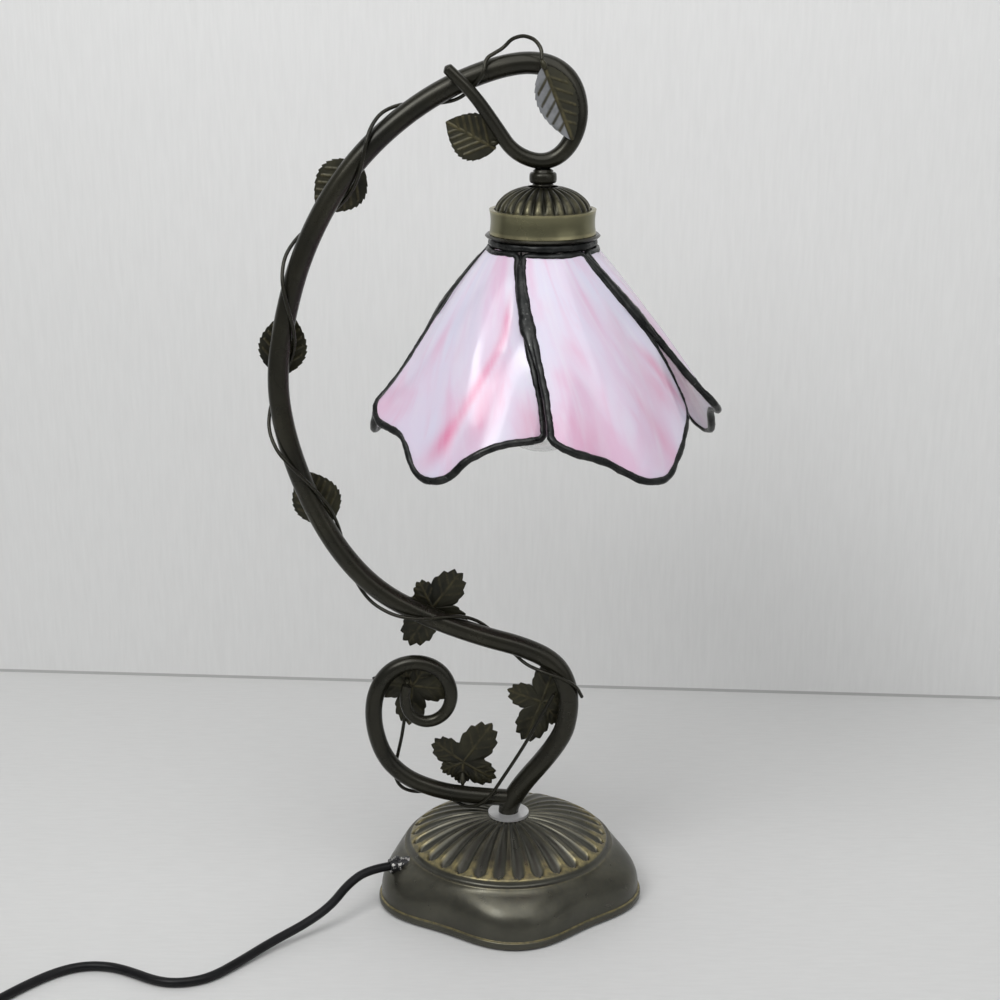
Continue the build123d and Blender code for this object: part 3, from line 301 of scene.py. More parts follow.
def opal_glass():
    """Opalescent lilac glass with soft rose clouds and the rose streaks of the streak attribute."""
    paint = Paint("opal_glass", 0.14)
    cloud = paint.noise(1.0, 3, paint.uv(), 0.9, (2.2, 1.1, 1))
    wisp = paint.noise(1.0, 4, paint.uv(), 1.4, (6.0, 1.5, 1))
    body = paint.ramp(
        cloud,
        (0.32, (0.665, 0.645, 0.775)),
        (0.50, (0.695, 0.615, 0.745)),
        (0.68, (0.705, 0.495, 0.645)),
    )
    body = paint.mix(paint.span(wisp, 0.48, 0.74, 0.0, 0.5), body, (0.725, 0.715, 0.785))
    body = paint.mix(paint.span(wisp, 0.44, 0.26, 0.0, 0.45), body, (0.70, 0.43, 0.58))
    broken = paint.span(wisp, 0.30, 0.62, 1.0, 0.55)
    rosy = paint.math("MULTIPLY", paint.attribute("streak"), broken)
    paint.color(paint.mix(rosy, body, (0.68, 0.20, 0.36)))
    paint.rough(paint.span(paint.noise(60), 0.3, 0.7, 0.14, 0.26))
    paint.bump(paint.noise(38, 2), 0.12, 0.0008)
    shader = paint.shader
    shader.inputs["Subsurface Weight"].default_value = 0.2
    shader.inputs["Subsurface Radius"].default_value = (0.005, 0.004, 0.004)
    shader.inputs["Subsurface Scale"].default_value = 1.0
    shader.inputs["Coat Weight"].default_value = 0.2
    shader.inputs["Coat Roughness"].default_value = 0.08
    return paint.material


def solder():
    """Solder under a black patina, with bare tin showing in specks."""
    paint = Paint("solder", 0.35, 0.7)
    tone = paint.ramp(paint.noise(160, 4), (0.35, (0.010, 0.011, 0.011)), (0.75, (0.040, 0.041, 0.039)))
    bare = paint.span(paint.noise(520, 2), 0.68, 0.8, 0, 0.5)
    paint.color(paint.mix(bare, tone, (0.22, 0.22, 0.21)))
    paint.rough(paint.span(paint.noise(240), 0.3, 0.7, 0.24, 0.42))
    paint.bump(paint.noise(420, 4), 0.35, 0.0005)
    return paint.material


def clear_glass(name, tint):
    """Thin clear glass with faint draw lines."""
    paint = Paint(name, 0.02, color=tint)
    paint.shader.inputs["Transmission Weight"].default_value = 1.0
    paint.shader.inputs["IOR"].default_value = 1.45
    paint.bump(paint.noise(60, 2, stretch=(1, 1, 0.15)), 0.02, 0.0002)
    return paint.material


def bushing():
    """Black bushing with bare metal chips where the finish broke round the hole."""
    paint = Paint("bushing", 0.4)
    chips = paint.span(paint.noise(420, 2), 0.56, 0.6)
    paint.color(paint.mix(chips, (0.012, 0.012, 0.013), (0.62, 0.61, 0.58)))
    paint.link(chips, paint.shader.inputs["Metallic"])
    paint.bump(paint.noise(500, 2), 0.3, 0.0004)
    return paint.material


def felt():
    """Short pressed fibres."""
    paint = Paint("felt", 0.95)
    paint.color(paint.ramp(paint.noise(600, 6), (0.3, (0.012, 0.02, 0.014)), (0.7, (0.035, 0.05, 0.036))))
    paint.bump(paint.noise(1800, 4), 0.6, 0.0004)
    paint.shader.inputs["Sheen Weight"].default_value = 0.4
    return paint.material


STEM = bronze_stem()
LEAF = bronze_leaf()
BASE = bronze_rub_and_highlight("bronze_base", (0.064, 0.063, 0.052), (0.094, 0.092, 0.074), (0.34, 0.285, 0.13))
CANOPY = bronze_rub_and_highlight("bronze_canopy", (0.010, 0.010, 0.006), (0.020, 0.019, 0.012), (0.24, 0.22, 0.13))
COLLAR = collar_bronze()
PETAL = opal_glass()
SOLDER = solder()
STEEL = mottled(
    "zinc_steel", (0.62, 0.62, 0.61), (0.76, 0.76, 0.75), (0.16, 0.26), 0.95, 60, 1400, 0.04
)
WASHER = mottled(
    "bright_zinc", (0.60, 0.60, 0.60), (0.74, 0.74, 0.74), (0.30, 0.44), 0.6, 90, 1400, 0.06
)
BRASS = mottled("brass", (0.50, 0.36, 0.13), (0.70, 0.52, 0.22), (0.22, 0.36), 0.95, 90, 1100)
TIN = mottled("bulb_tin", (0.60, 0.60, 0.58), (0.76, 0.75, 0.72), (0.24, 0.36), 0.95, 140, 900)
PORCELAIN = mottled(
    "porcelain", (0.70, 0.69, 0.64), (0.82, 0.81, 0.77), (0.14, 0.24), 0.0, 40, 500, 0.05
)
RUBBER = mottled(
    "cord_rubber", (0.004, 0.004, 0.0045), (0.009, 0.009, 0.010), (0.3, 0.42), 0.0, 90, 900, gloss=0.22
)
PLASTIC = mottled(
    "black_plastic", (0.010, 0.010, 0.011), (0.026, 0.026, 0.028), (0.34, 0.48), 0.0, 80, 1500
)
FILAMENT = mottled("filament", (0.62, 0.42, 0.10), (0.80, 0.60, 0.22), (0.5, 0.7), 0.0, 400, 1500, 0.3)
BULB = clear_glass("bulb_clear", (0.97, 0.98, 0.97))
BUSHING = bushing()
FELT = felt()


def dress(obj, material, body="stand", slot=None, *nodes):
    """Give a new piece its material and its body, and hide the solids it stands for. The slot argument is
    not used.
    """
    obj.data.materials.clear()
    obj.data.materials.append(material)
    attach(obj, body)
    if nodes:
        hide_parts(*nodes)
    return obj


# Camera, light, floor and wall

camera = bpy.data.objects.new("camera", bpy.data.cameras.new("camera"))
scene.collection.objects.link(camera)
camera.location = (-0.0049, -0.9747, 0.5232)
camera.rotation_euler = (math.radians(73.5), 0, 0)
camera.data.sensor_width = 36
camera.data.lens = 66.6
camera.data.clip_start = 0.01
scene.camera = camera


def softbox(name, place, aim, size, power):
    """A large soft lamp."""
    light = bpy.data.lights.new(name, "AREA")
    light.size = size
    light.energy = power
    obj = bpy.data.objects.new(name, light)
    obj.location = place
    obj.rotation_euler = (Vector(aim) - Vector(place)).to_track_quat("-Z", "Y").to_euler()
    scene.collection.objects.link(obj)


softbox("key", (-0.9, -1.1, 1.5), (0, 0, 0.25), 0.8, 10.5)
softbox("fill", (1.2, -0.9, 0.9), (0, 0, 0.25), 1.2, 2.6)
softbox("top", (0.0, -0.45, 1.25), (0, 0.3, 0.66), 1.2, 7.6)
world = bpy.data.worlds.new("world")
world.use_nodes = True
world.node_tree.nodes["Background"].inputs["Color"].default_value = (0.95, 0.97, 1.0, 1)
world.node_tree.nodes["Background"].inputs["Strength"].default_value = 0.29
scene.world = world


def whitewash(name, tone, stretch):
    """White paint over faint brushed lines."""
    paint = Paint(name, 0.6)
    streak = paint.noise(1.0, 5, stretch=stretch)
    paint.color(paint.ramp(streak, (0.3, tuple(0.96 * c for c in tone)), (0.7, tone)))
    paint.bump(streak, 0.15, 0.0006)
    return paint


def front_only(paint):
    """Leave a backdrop's back clear, so that it hides nothing from behind."""
    clear = paint.node("ShaderNodeBsdfTransparent")
    sides = paint.node("ShaderNodeMixShader")
    paint.link(paint.node("ShaderNodeNewGeometry").outputs["Backfacing"], sides.inputs["Fac"])
    paint.link(paint.shader.outputs["BSDF"], sides.inputs[1])
    paint.link(clear.outputs["BSDF"], sides.inputs[2])
    paint.link(sides.outputs["Shader"], paint.tree.nodes["Material Output"].inputs["Surface"])
    return paint.material


# The wall stands behind the lamp, a little nearer on the right. A dark strip along its foot is painted shade
# where the wall meets the floor.
FLOOR_HALF = 4000
WALL_HALF = 2000
WALL_AWAY = 307
WALL_SLANT = 147
WALL_HEIGHT = 2500
STRIP_HEIGHT = 2.2
STRIP_OFF = 1.5
QUAD = [(0, 1, 2, 3)]


def upright(height, off):
    """Corners of a strip of the wall from the floor to a height, an offset in front of it."""
    left = (-WALL_HALF, WALL_AWAY + WALL_SLANT - off)
    right = (WALL_HALF, WALL_AWAY - WALL_SLANT - off)
    return [(*left, 0), (*right, 0), (*right, height), (*left, height)]


corners = ((-1, -1), (1, -1), (1, 1), (-1, 1))
floor = add_mesh("floor", [(x * FLOOR_HALF, y * FLOOR_HALF, 0) for x, y in corners], QUAD)
floor.data.materials.append(whitewash("floor_paint", (0.70, 0.70, 0.69), (60, 400, 60)).material)
wall = add_mesh("wall", upright(WALL_HEIGHT, 0), QUAD)
wall.data.materials.append(front_only(whitewash("wall_paint", (0.80, 0.80, 0.79), (420, 420, 40))))
# Painted shade: a dark sheet just in front of the wall's foot.
gap = add_mesh("wall_foot_shade", upright(STRIP_HEIGHT, STRIP_OFF), QUAD)
gap.data.materials.append(front_only(whitewash("foot_shadow", (0.50, 0.50, 0.49), (60, 60, 60))))


# Cords

CORD_RADIUS = 2.5
LEAD_ROUTE = [
    (-67.66, -24.63, 24.5), (-79.87, -29.07, 24.5),
    (-90.5, -37.5, 20), (-99, -50, 13.5), (-112, -61, 8.5), (-129, -74, 5), (-146, -93, 2.7),
    (-158, -107, 2.5), (-170.9, -112.5, 2.5), (-184.9, -111.7, 2.5), (-204, -99.9, 2.5), (-216, -95.4, 2.5),
    (-229, -95.6, 2.5), (-241, -101.6, 2.5), (-254, -114.5, 2.5), (-267, -132, 2.7), (-275.4, -142.2, 5),
    (-282, -151, 8),
]
LINK_ROUTE = [
    (-318, -199, 8), (-326, -209.7, 8), (-338, -218.5, 6.2), (-353, -221, 4.8), (-368.5, -215.5, 4),
    (-379, -202, 3.8), (-382.3, -187, 3.8), (-383, -171, 3.8), (-383, -155, 3.8),
]
TAIL_ROUTE = [
    (-387.5, -145, 20.9), (-387, -135, 20.3), (-381, -118, 17.5), (-368, -104, 14), (-352, -95, 11.5),
    (-339, -93, 11),
]
COIL_MIDDLE = (-350, -150)
COIL_START = (-33.0, 3.8)
COIL_ENDS = [35, 24.5, 24.5, 21.8, 30.2, 30.2, 37.5, 33, 35, 24.5, 24.5, 21.8, 30.2, 30.2, 37.5, 37.5]
COIL_CLIMBS = (3, 7, 11)
COIL_LAYER = 5.7
COIL_STEPS = 6


def coil_route():
    """Control points of the coil: half turns that spiral in and out and climb where the spiral reverses."""
    points = []
    x, height = COIL_START
    for place, end in enumerate(COIL_ENDS):
        side = -1 if place % 2 else 1
        climb = COIL_LAYER if place in COIL_CLIMBS else 0.0
        middle, radius = (x + side * end) / 2, abs(side * end - x) / 2
        stretch = 1 / (0.75 + 0.25 * math.cos(math.pi / COIL_STEPS))
        for step in range(COIL_STEPS):
            turn = math.pi * (step + 0.5) / COIL_STEPS
            points.append(
                (
                    COIL_MIDDLE[0] + middle - side * radius * stretch * math.cos(turn),
                    COIL_MIDDLE[1] + side * radius * stretch * math.sin(turn),
                    height + climb * (1 - math.cos(turn)) / 2,
                )
            )
        x, height = side * end, height + climb
    return points


lead = dress(add_curve("lead_cord", LEAD_ROUTE, CORD_RADIUS), RUBBER, "stand", "cord", "cord_lead")
wound = dress(
    add_curve("wound_cord", LINK_ROUTE + coil_route() + TAIL_ROUTE, CORD_RADIUS), RUBBER, "stand", "cord",
    "cord_link", "cord_coil", "cord_tail",
)


# Shade: bent glass petals in solder

PETALS = 5
PETAL_TOP = 374.4
NECK_RADIUS = 27.0
SEAM_RADIUS = 86
SEAM_BELLY = 4
PETAL_BELLY = 6
PETAL_LENGTH = 100
PETAL_STEP = 72
PETAL_ARC = 1.2566
PETAL_TURN = -187.5
PETAL_TWIST = 26
GLASS_THICKNESS = 2.4
GLASS_INSET = 1.9
BEAD_INSET = 1.7
SEAM_SHARE = 0.62

# A rim's reach and drop at shares of the way across. Two cuts take turns round the shade.
RIM_SHARES = (0, 0.1, 0.27, 0.42, 0.55, 0.65, 0.8, 1)
RIM_RADII = (95, 96.5, 93, 98, 98, 94, 87, 79)
RIM_DROPS = ((79, 86, 91, 107, 107, 96, 88, 87), (84, 89, 97, 107, 108, 101, 90, 83))

# A soft fold runs down each petal: its place across at shares of the way down, its width and depth.
FOLD_SHARES = (0, 0.25, 0.5, 0.75, 1)
FOLD_PLACES = (0.95, 0.88, 0.76, 0.68, 0.60)
FOLD_WIDTH = 0.13
FOLD_DEPTHS = (4.2, 2.2, 3.2, 2.6, 3.6)


def smooth_through(shares, values, share):
    """A smooth curve through the values at the shares."""
    last = len(shares) - 1
    place = min(max(k for k in range(last + 1) if shares[k] <= share), last - 1)

    def slope(k):
        before, after = max(k - 1, 0), min(k + 1, last)
        return (values[after] - values[before]) / (shares[after] - shares[before])

    gap = shares[place + 1] - shares[place]
    t = (share - shares[place]) / gap
    ease = t * t * (3 - 2 * t)
    leave, arrive = t * (1 - t) ** 2, t * t * (t - 1)
    bend = gap * (leave * slope(place) + arrive * slope(place + 1))
    return values[place] * (1 - ease) + values[place + 1] * ease + bend


def crease(u, v, petal):
    """How far a petal is pressed in along the soft fold beside its tucked edge."""
    off = (u - smooth_through(FOLD_SHARES, FOLD_PLACES, v)) / FOLD_WIDTH
    fade = max(0.0, min(1.0, (v - 0.12) / 0.4)) * (1 - 0.5 * v**4)
    return FOLD_DEPTHS[petal] * fade * math.exp(-off * off)


def petal_point(u, v, petal):
    """A point of a petal from its flared (0) to its tucked edge (1) and from neck (0) to rim (1)."""
    v *= 1 - 0.02 * max(0.0, 1 - min(u, 1 - u) / 0.12) ** 2
    edge = (2 * u - 1) ** 2
    parted = max(0.0, (v - 0.40) / 0.60) ** 1.5
    rim = smooth_through(RIM_SHARES, RIM_RADII, u)
    drop = smooth_through(RIM_SHARES, RIM_DROPS[petal % 2], u)
    rise = math.sin(math.pi * v)
    own = NECK_RADIUS + (rim - NECK_RADIUS) * v + PETAL_BELLY * rise * (1 - edge)
    seam = NECK_RADIUS + (SEAM_RADIUS - NECK_RADIUS) * v + SEAM_BELLY * rise
    joined = edge * (1 - parted)
    radius = own * (1 - joined) + seam * joined - crease(u, v, petal)
    twist = PETAL_TWIST * (1 - (1 - v) ** 2)
    turn = math.radians(PETAL_TURN + PETAL_STEP * petal + PETAL_STEP * u + twist)
    return Vector((HEAD_X + radius * math.cos(turn), radius * math.sin(turn), PETAL_TOP - drop * v))


def petal_inset(u, v, inset, petal):
    """The same, with the shares kept an inset away from the outline."""
    down = (inset + (PETAL_LENGTH - 2 * inset) * v) / PETAL_LENGTH
    width = PETAL_ARC * (NECK_RADIUS + (SEAM_RADIUS - NECK_RADIUS) * down)
    return petal_point((inset + (width - 2 * inset) * u) / width, down, petal)


def off_glass(point):
    """The way out of the shade at a point of a petal."""
    out = Vector((point.x - HEAD_X, point.y, 0)).normalized()
    return (out + Vector((0, 0, 0.75))).normalized()


# Rose streaks of each petal: places across at the neck, half way and at the rim, half width, where they
# start and end down the petal, strength
STREAK_SHARES = (0, 0.5, 1)
STREAKS = (
    (
        (1.02, 0.77, 0.40, 0.040, 0.16, 1.05, 1.0), (0.90, 0.80, 0.66, 0.07, 0.45, 1.1, 0.65),
        (0.98, 0.93, 0.95, 0.06, 0.70, 1.2, 0.7), (0.40, 0.30, 0.14, 0.035, 0.30, 0.75, 0.35),
        (0.40, 0.22, 0.05, 0.09, 0.72, 1.2, 0.4),
    ),
    (
        (0.70, 0.80, 0.93, 0.045, 0.45, 1.05, 0.9), (0.60, 0.74, 0.80, 0.05, 0.50, 1.0, 0.5),
        (0.08, 0.12, 0.15, 0.09, 0.70, 1.2, 0.35), (0.62, 0.55, 0.50, 0.07, 0.02, 0.40, 0.35),
        (0.40, 0.52, 0.62, 0.025, 0.50, 1.1, 0.4), (0.35, 0.28, 0.30, 0.11, 0.36, 0.56, 0.3),
    ),
    ((0.25, 0.34, 0.42, 0.06, 0.20, 0.90, 0.8), (0.85, 0.78, 0.75, 0.06, 0.40, 1.1, 0.7)),
    ((0.60, 0.55, 0.45, 0.07, 0.10, 0.80, 0.9), (0.15, 0.14, 0.10, 0.05, 0.50, 1.1, 0.6)),
    ((0.40, 0.46, 0.55, 0.06, 0.30, 1.10, 0.8), (0.85, 0.86, 0.90, 0.07, 0.10, 0.70, 0.7)),
)


def rose(petal, u, v):
    """How strong the rose is at a share across and down a petal."""
    strength = 0.0
    for neck, half_way, rim, half, start, end, most in STREAKS[petal]:
        centre = smooth_through(STREAK_SHARES, (neck, half_way, rim), v)
        wander = 0.05 * noise.noise(Vector((petal * 5.3, v * 3.2, neck * 9)))
        off = (u - centre - wander) / (half * (0.8 + 0.6 * v))
        fade = max(0.0, min(1.0, (v - start) / 0.18, (end - v) / 0.25))
        strength = max(strength, most * fade * math.exp(-off * off))
    return strength


def make_petal(petal):
    """One sheet of glass, with shares across and down kept for its streaks."""
    columns, rows = 49, 57
    points, shares, streak = [], [], []
    for row in range(rows):
        for column in range(columns):
            u, v = column / (columns - 1), row / (rows - 1)
            points.append(petal_inset(u, v, GLASS_INSET, petal))
            shares.append((u + 3.7 * petal, v + 1.9 * petal))
            streak.append(rose(petal, u, v))
    obj = add_mesh(f"glass_{petal + 1}", points, grid_faces(columns, rows))
    store(obj, "streak", streak)
    layer = obj.data.uv_layers.new(name="petal")
    for loop in obj.data.loops:
        layer.data[loop.index].uv = shares[loop.vertex_index]
    thick = obj.modifiers.new("thick", "SOLIDIFY")
    thick.thickness = GLASS_THICKNESS * MM
    thick.offset = 0
    return dress(obj, PETAL, "shade", "petal_glass", f"petal_{petal + 1}")


def make_solder(petal):
    """The bead round one petal, and the fuller one over the seam beside its flared edge."""
    steps, neck_steps, seam_steps = 70, 24, 54
    ring = [petal_inset(0, k / steps, BEAD_INSET, petal) for k in range(1, steps)]
    ring += [petal_inset(k / steps, 1, BEAD_INSET, petal) for k in range(1, steps)]
    ring += [petal_inset(1, 1 - k / steps, BEAD_INSET, petal) for k in range(1, steps)]
    ring += [petal_inset(1 - k / neck_steps, 0, BEAD_INSET, petal) for k in range(1, neck_steps)]
    points, faces = bead(ring, 2.0, 2.0, off_glass, True, rough=0.2, seed=petal * 7.3)
    seam = [petal_point(0, SEAM_SHARE * k / seam_steps, petal) for k in range(seam_steps + 1)]
    more, more_faces = bead(seam, 2.6, 2.1, off_glass, False, rough=0.13, seed=petal * 3.1 + 50, swell=0.6)
    faces += [tuple(corner + len(points) for corner in face) for face in more_faces]
    obj = add_mesh(f"solder_{petal + 1}", points + more, faces)
    return dress(obj, SOLDER, "shade", "solder", f"came_{petal + 1}")


def make_neck():
    """The uneven band of solder that holds the petals to the ring above them."""
    steps, reach, height = 150, 26.9, 376.8
    ring = []
    for step in range(steps):
        turn = 2 * math.pi * step / steps
        ring.append(Vector((HEAD_X + reach * math.cos(turn), reach * math.sin(turn), height)))

    def level(point):
        return Vector((point.x - HEAD_X, point.y, 0)).normalized()

    points, faces = bead(ring, 2.5, 1.9, level, True, rough=0.3, seed=91)
    return dress(add_mesh("neck_solder", points, faces), SOLDER, "shade", "solder", "neck_band")


for petal in range(PETALS):
    make_petal(petal)
    make_solder(petal)
make_neck()


# Head: ribbed canopy and the coupling under the loop

RIBS = 26
CANOPY_SPREAD = 25.5
CANOPY_REACH = 25.2
CANOPY_TIP = 8
CANOPY_FOOT = 392.3
CANOPY_RISE = 13.4
RIB_LIFT = 1.5


def lathe(name, profile, around):
    """A turned skin on the head's axis from radii and heights."""
    points = []
    for radius, height in profile:
        for step in range(around):
            turn = 2 * math.pi * step / around
            points.append((HEAD_X + radius * math.cos(turn), radius * math.sin(turn), height))
    return add_mesh(name, points, grid_faces(around, len(profile), wrap=True))


def make_canopy():
    """A quarter-ellipse dome with rounded ribs, gold where they stand out: polish and a painted highlight on
    the crests.
    """
    around, rows = RIBS * 14, 30
    top = math.acos(CANOPY_TIP / CANOPY_SPREAD)
    points, gold_share = [], []
    for row in range(rows):
        rise = top * row / (rows - 1)
        share = row / (rows - 1)
        for step in range(around):
            turn = 2 * math.pi * step / around
            crest = abs(math.cos(turn * RIBS / 2)) ** 0.7
            lift = RIB_LIFT * (crest - 0.8) * min(1.0, 5 * share) * (1 - share**4)
            radius = CANOPY_REACH * math.cos(rise) + lift
            height = CANOPY_FOOT + CANOPY_RISE * math.sin(rise) / math.sin(top) + lift * math.sin(rise)
            points.append((HEAD_X + radius * math.cos(turn), radius * math.sin(turn), height))
            # Gold on the rib crests, strongest low on the dome: polish and painted highlight.
            gold_share.append(0.75 * crest**5 * (1 - 0.8 * share))
    obj = add_mesh("ribbed_canopy", points, grid_faces(around, rows, wrap=True))
    store(obj, "gold_share", gold_share)
    return dress(obj, CANOPY, "stand", "bronze_head", "canopy")


make_canopy()
COUPLING = [
    (4.4, 405.4), (5.6, 405.8), (5.5, 406.8), (5.0, 407.2), (6.5, 407.6), (7.05, 408.3), (7.2, 409.4),
    (7.2, 411.0), (7.05, 412.2), (6.5, 412.9), (5.2, 413.2), (5.3, 414.0), (4.4, 414.6),
]
dress(lathe("coupling", COUPLING, 48), STEM, "stand", "bronze_dark", "ball_coupling")


# Leaves: kind, length, width, middle, angle of the tip, fold; then each stalk's root and anchor

LEAF_PLACES = [
    ("oval", 40, 21, (25, -9.5, 449), -68, -24),
    ("oval", 29, 26, (-20, 0, 432), 152, 8),
    ("oval", 34, 29, (-90, 9.6, 404), 225, -8),
    ("oval", 36, 27, (-122, 9.6, 320), 80, 8),
    ("oval", 34, 28, (-107.5, 9.6, 233), 115, -8),
    ("lobed", 24, 27, (-43, 7.6, 169), -35, 10),
    ("lobed", 25, 24, (-55, 7.6, 122), 265, 8),
    ("lobed", 21, 27, (19, 7.6, 112), 160, 10),
    ("lobed", 29, 22, (-26, 6.6, 75), 55, 10),
]
LEAF_STALKS = [
    ((18.2, -9.5, 466), (16.5, -9.5, 470.5)),
    ((-10, 0, 428), (-5.9, -1.4, 428.5)),
    ((-91.5, 9.6, 404), (-91.5, 6.05, 404)),
    ((-122, 9.6, 320), (-122, 6.05, 320)),
    ((-109, 9.6, 233), (-109, 6.05, 233)),
    ((-48, 7.6, 167.3), (-48, 6.05, 167.3)),
    ((-57.5, 7.6, 126), (-57.5, 0.2, 126)),
    ((28.4, 7.6, 111), (30.6, 4.8, 111)),
    ((-26.5, 6.6, 68.5), (-26.5, 2.7, 62.1)),
]
LEAF_THICKNESS = 0.7
STALK_RADIUS = 0.9
STALK_UP = Vector((0.3, 0.2, 1))

# The first leaf's half that catches the light is painted pale: a painted highlight, kept off its veins.
LIT_HALF_HIGHLIGHT = 0.8


def tooth(share, count):
    """A saw tooth that leans towards the tip: 0 at its root, 1 at its point."""
    return (share * count) % 1.0


def ridge(distance, width):
    """A soft ridge across a vein."""
    return math.exp(-((distance / width) ** 2))


def oval_leaf(length, width, fold):
    """Points, faces and rub of a serrated oval leaf folded along its midrib, tip along +X, face along +Z."""
    columns, rows = 61, 90
    points, gold_share = [], []
    for row in range(rows):
        share = row / (rows - 1)
        half = width / 2 * math.sin(math.pi * share**0.85) ** 0.8
        half *= 0.93 + 0.07 * tooth(share, 11)
        for column in range(columns):
            side = 2 * column / (columns - 1) - 1
            x, y = length * (share - 0.5), half * side
            away = abs(side) * half
            vein = 0.0
            for rib in range(5):
                root = 0.14 + 0.15 * rib
                lean = (share - root) * length - away * 0.85
                if away < 0.86 * half:
                    vein = max(vein, ridge(lean, 0.55))
            middle = ridge(away, 0.6)
            lift = math.tan(math.radians(fold)) * away - 0.6 * (2 * share - 1) ** 2
            points.append((x, y, lift + 0.55 * max(vein, middle)))
            gold_share.append(max(0.8 * middle, 0.65 * vein))
    return points, grid_faces(columns, rows), gold_share


def lobed_leaf(length, width, fold):
    """Points, faces and rub of a serrated leaf of three main and two small lobes, laid as the oval one."""
    small = 0.66 * width
    lobes = ((0.0, length), (88.0, width), (-88.0, width), (150.0, small), (-150.0, small))
    columns, rows = 180, 26
    points, gold_share = [], []
    for row in range(rows):
        out = row / (rows - 1)
        for column in range(columns):
            angle = 360 * column / columns
            reach = 0.40 * width
            vein = 0.0
            for lobe, size in lobes:
                off = (angle - lobe + 180) % 360 - 180
                reach = max(reach, size * (0.42 + 0.58 * max(0.0, 1 - abs(off / 46) ** 1.6)))
            reach *= 0.91 + 0.09 * abs(((angle / 360 * 30) % 1.0) * 2 - 1)
            turn = math.radians(angle)
            x, y = out * reach * math.cos(turn), out * reach * math.sin(turn)
            for lobe, size in lobes:
                way = math.radians(lobe)
                along = x * math.cos(way) + y * math.sin(way)
                aside = abs(-x * math.sin(way) + y * math.cos(way))
                if along > 0:
                    vein = max(vein, ridge(aside, 0.55))
                    for rib in (0.35, 0.58, 0.78):
                        if aside < 0.3 * size:
                            vein = max(vein, 0.8 * ridge(along - rib * size - aside * 0.9, 0.45))
            off = min(abs((angle - lobe + 180) % 360 - 180) for lobe, size in lobes)
            lift = math.tan(math.radians(fold)) * out * reach * math.sin(math.radians(min(off, 60))) * 0.8
            points.append((x, y, lift - 1.6 * out**2 + 0.45 * vein))
            gold_share.append(0.6 * vein)
    return points, grid_faces(columns, rows, wrap=True), gold_share


def make_leaf(place):
    """One leaf with its stalk, set where its solid is."""
    kind, length, width, centre, tip, fold = LEAF_PLACES[place]
    points, faces, gold_share = (oval_leaf if kind == "oval" else lobed_leaf)(length, width, fold)
    # Painted highlight over one half of the first leaf, for the light it catches.
    lit = LIT_HALF_HIGHLIGHT if place == 0 else 0.0
    painted_lit_half = [lit * max(0.0, 1 - 2 * shine) if p[1] < -0.4 else 0.0 for p, shine in zip(points, gold_share)]
    turn = math.radians(tip)
    along = Vector((math.cos(turn), 0, math.sin(turn)))
    face = Vector((0, -1, 0))
    stand = Matrix((along, face.cross(along), face)).transposed()
    points = [Vector(centre) + stand @ Vector(p) for p in points]
    root, anchor = (Vector(p) for p in LEAF_STALKS[place])
    stalk = [root.lerp(anchor, k / 6) for k in range(7)]
    more, more_faces = bead(stalk, STALK_RADIUS, STALK_RADIUS, lambda p: STALK_UP, False, 0.05, sides=10)
    faces += [tuple(corner + len(points) for corner in f) for f in more_faces]
    gold_share += [0.1] * len(more)
    obj = add_mesh(f"vine_leaf_{place + 1}", points + more, faces)
    store(obj, "gold_share", gold_share)
    store(obj, "painted_lit_half", painted_lit_half + [0.0] * len(more))
    thick = obj.modifiers.new("thick", "SOLIDIFY")
    thick.thickness = LEAF_THICKNESS * MM
    thick.offset = -1
    return dress(obj, LEAF, "stand", "bronze_dark", f"leaf_{place + 1}")


for place in range(len(LEAF_PLACES)):
    make_leaf(place)


# Base casting: lobed body, ridge ring and fluted dome

LOBES = 5
LOBE_TURN = math.radians(-86.0)
FLUTES = 30
FLUTE_SHARE = 0.37
FLUTE_END = 55.4
VALLEY = 69.0
LOBE = 77.5
DOME_RIM = (56.6, 32.0)
DOME_SEAT = 13.0
DOME_RISE = 13.5
DOME_BULGE = 3.6
BODY_INSET = 1.5
BODY_FOOT = 5.5
BODY_RISE = 22.2
RING_RADIUS = 60
SEAT_HOLE = 4.3
SEAT_HEIGHT = 45.5
FLUTE_DEEP = 2.4
FLUTE_EASE = 1.5
BODY_STEPS = 22
DOME_STEPS = 70


def lobed_reach(turn, valley, lobe):
    """How far the wavy outline reaches in a direction."""
    return (valley + lobe) / 2 + (lobe - valley) / 2 * math.cos(LOBES * (turn - LOBE_TURN))


def base_row(turn, valley_inset, ring, swell_share, height):
    """A point between the lobed outline and the round ring."""
    lobed = lobed_reach(turn, VALLEY - valley_inset, LOBE - valley_inset)
    radius = ring + (lobed - ring) * swell_share
    return (radius * math.cos(turn), radius * math.sin(turn), height)


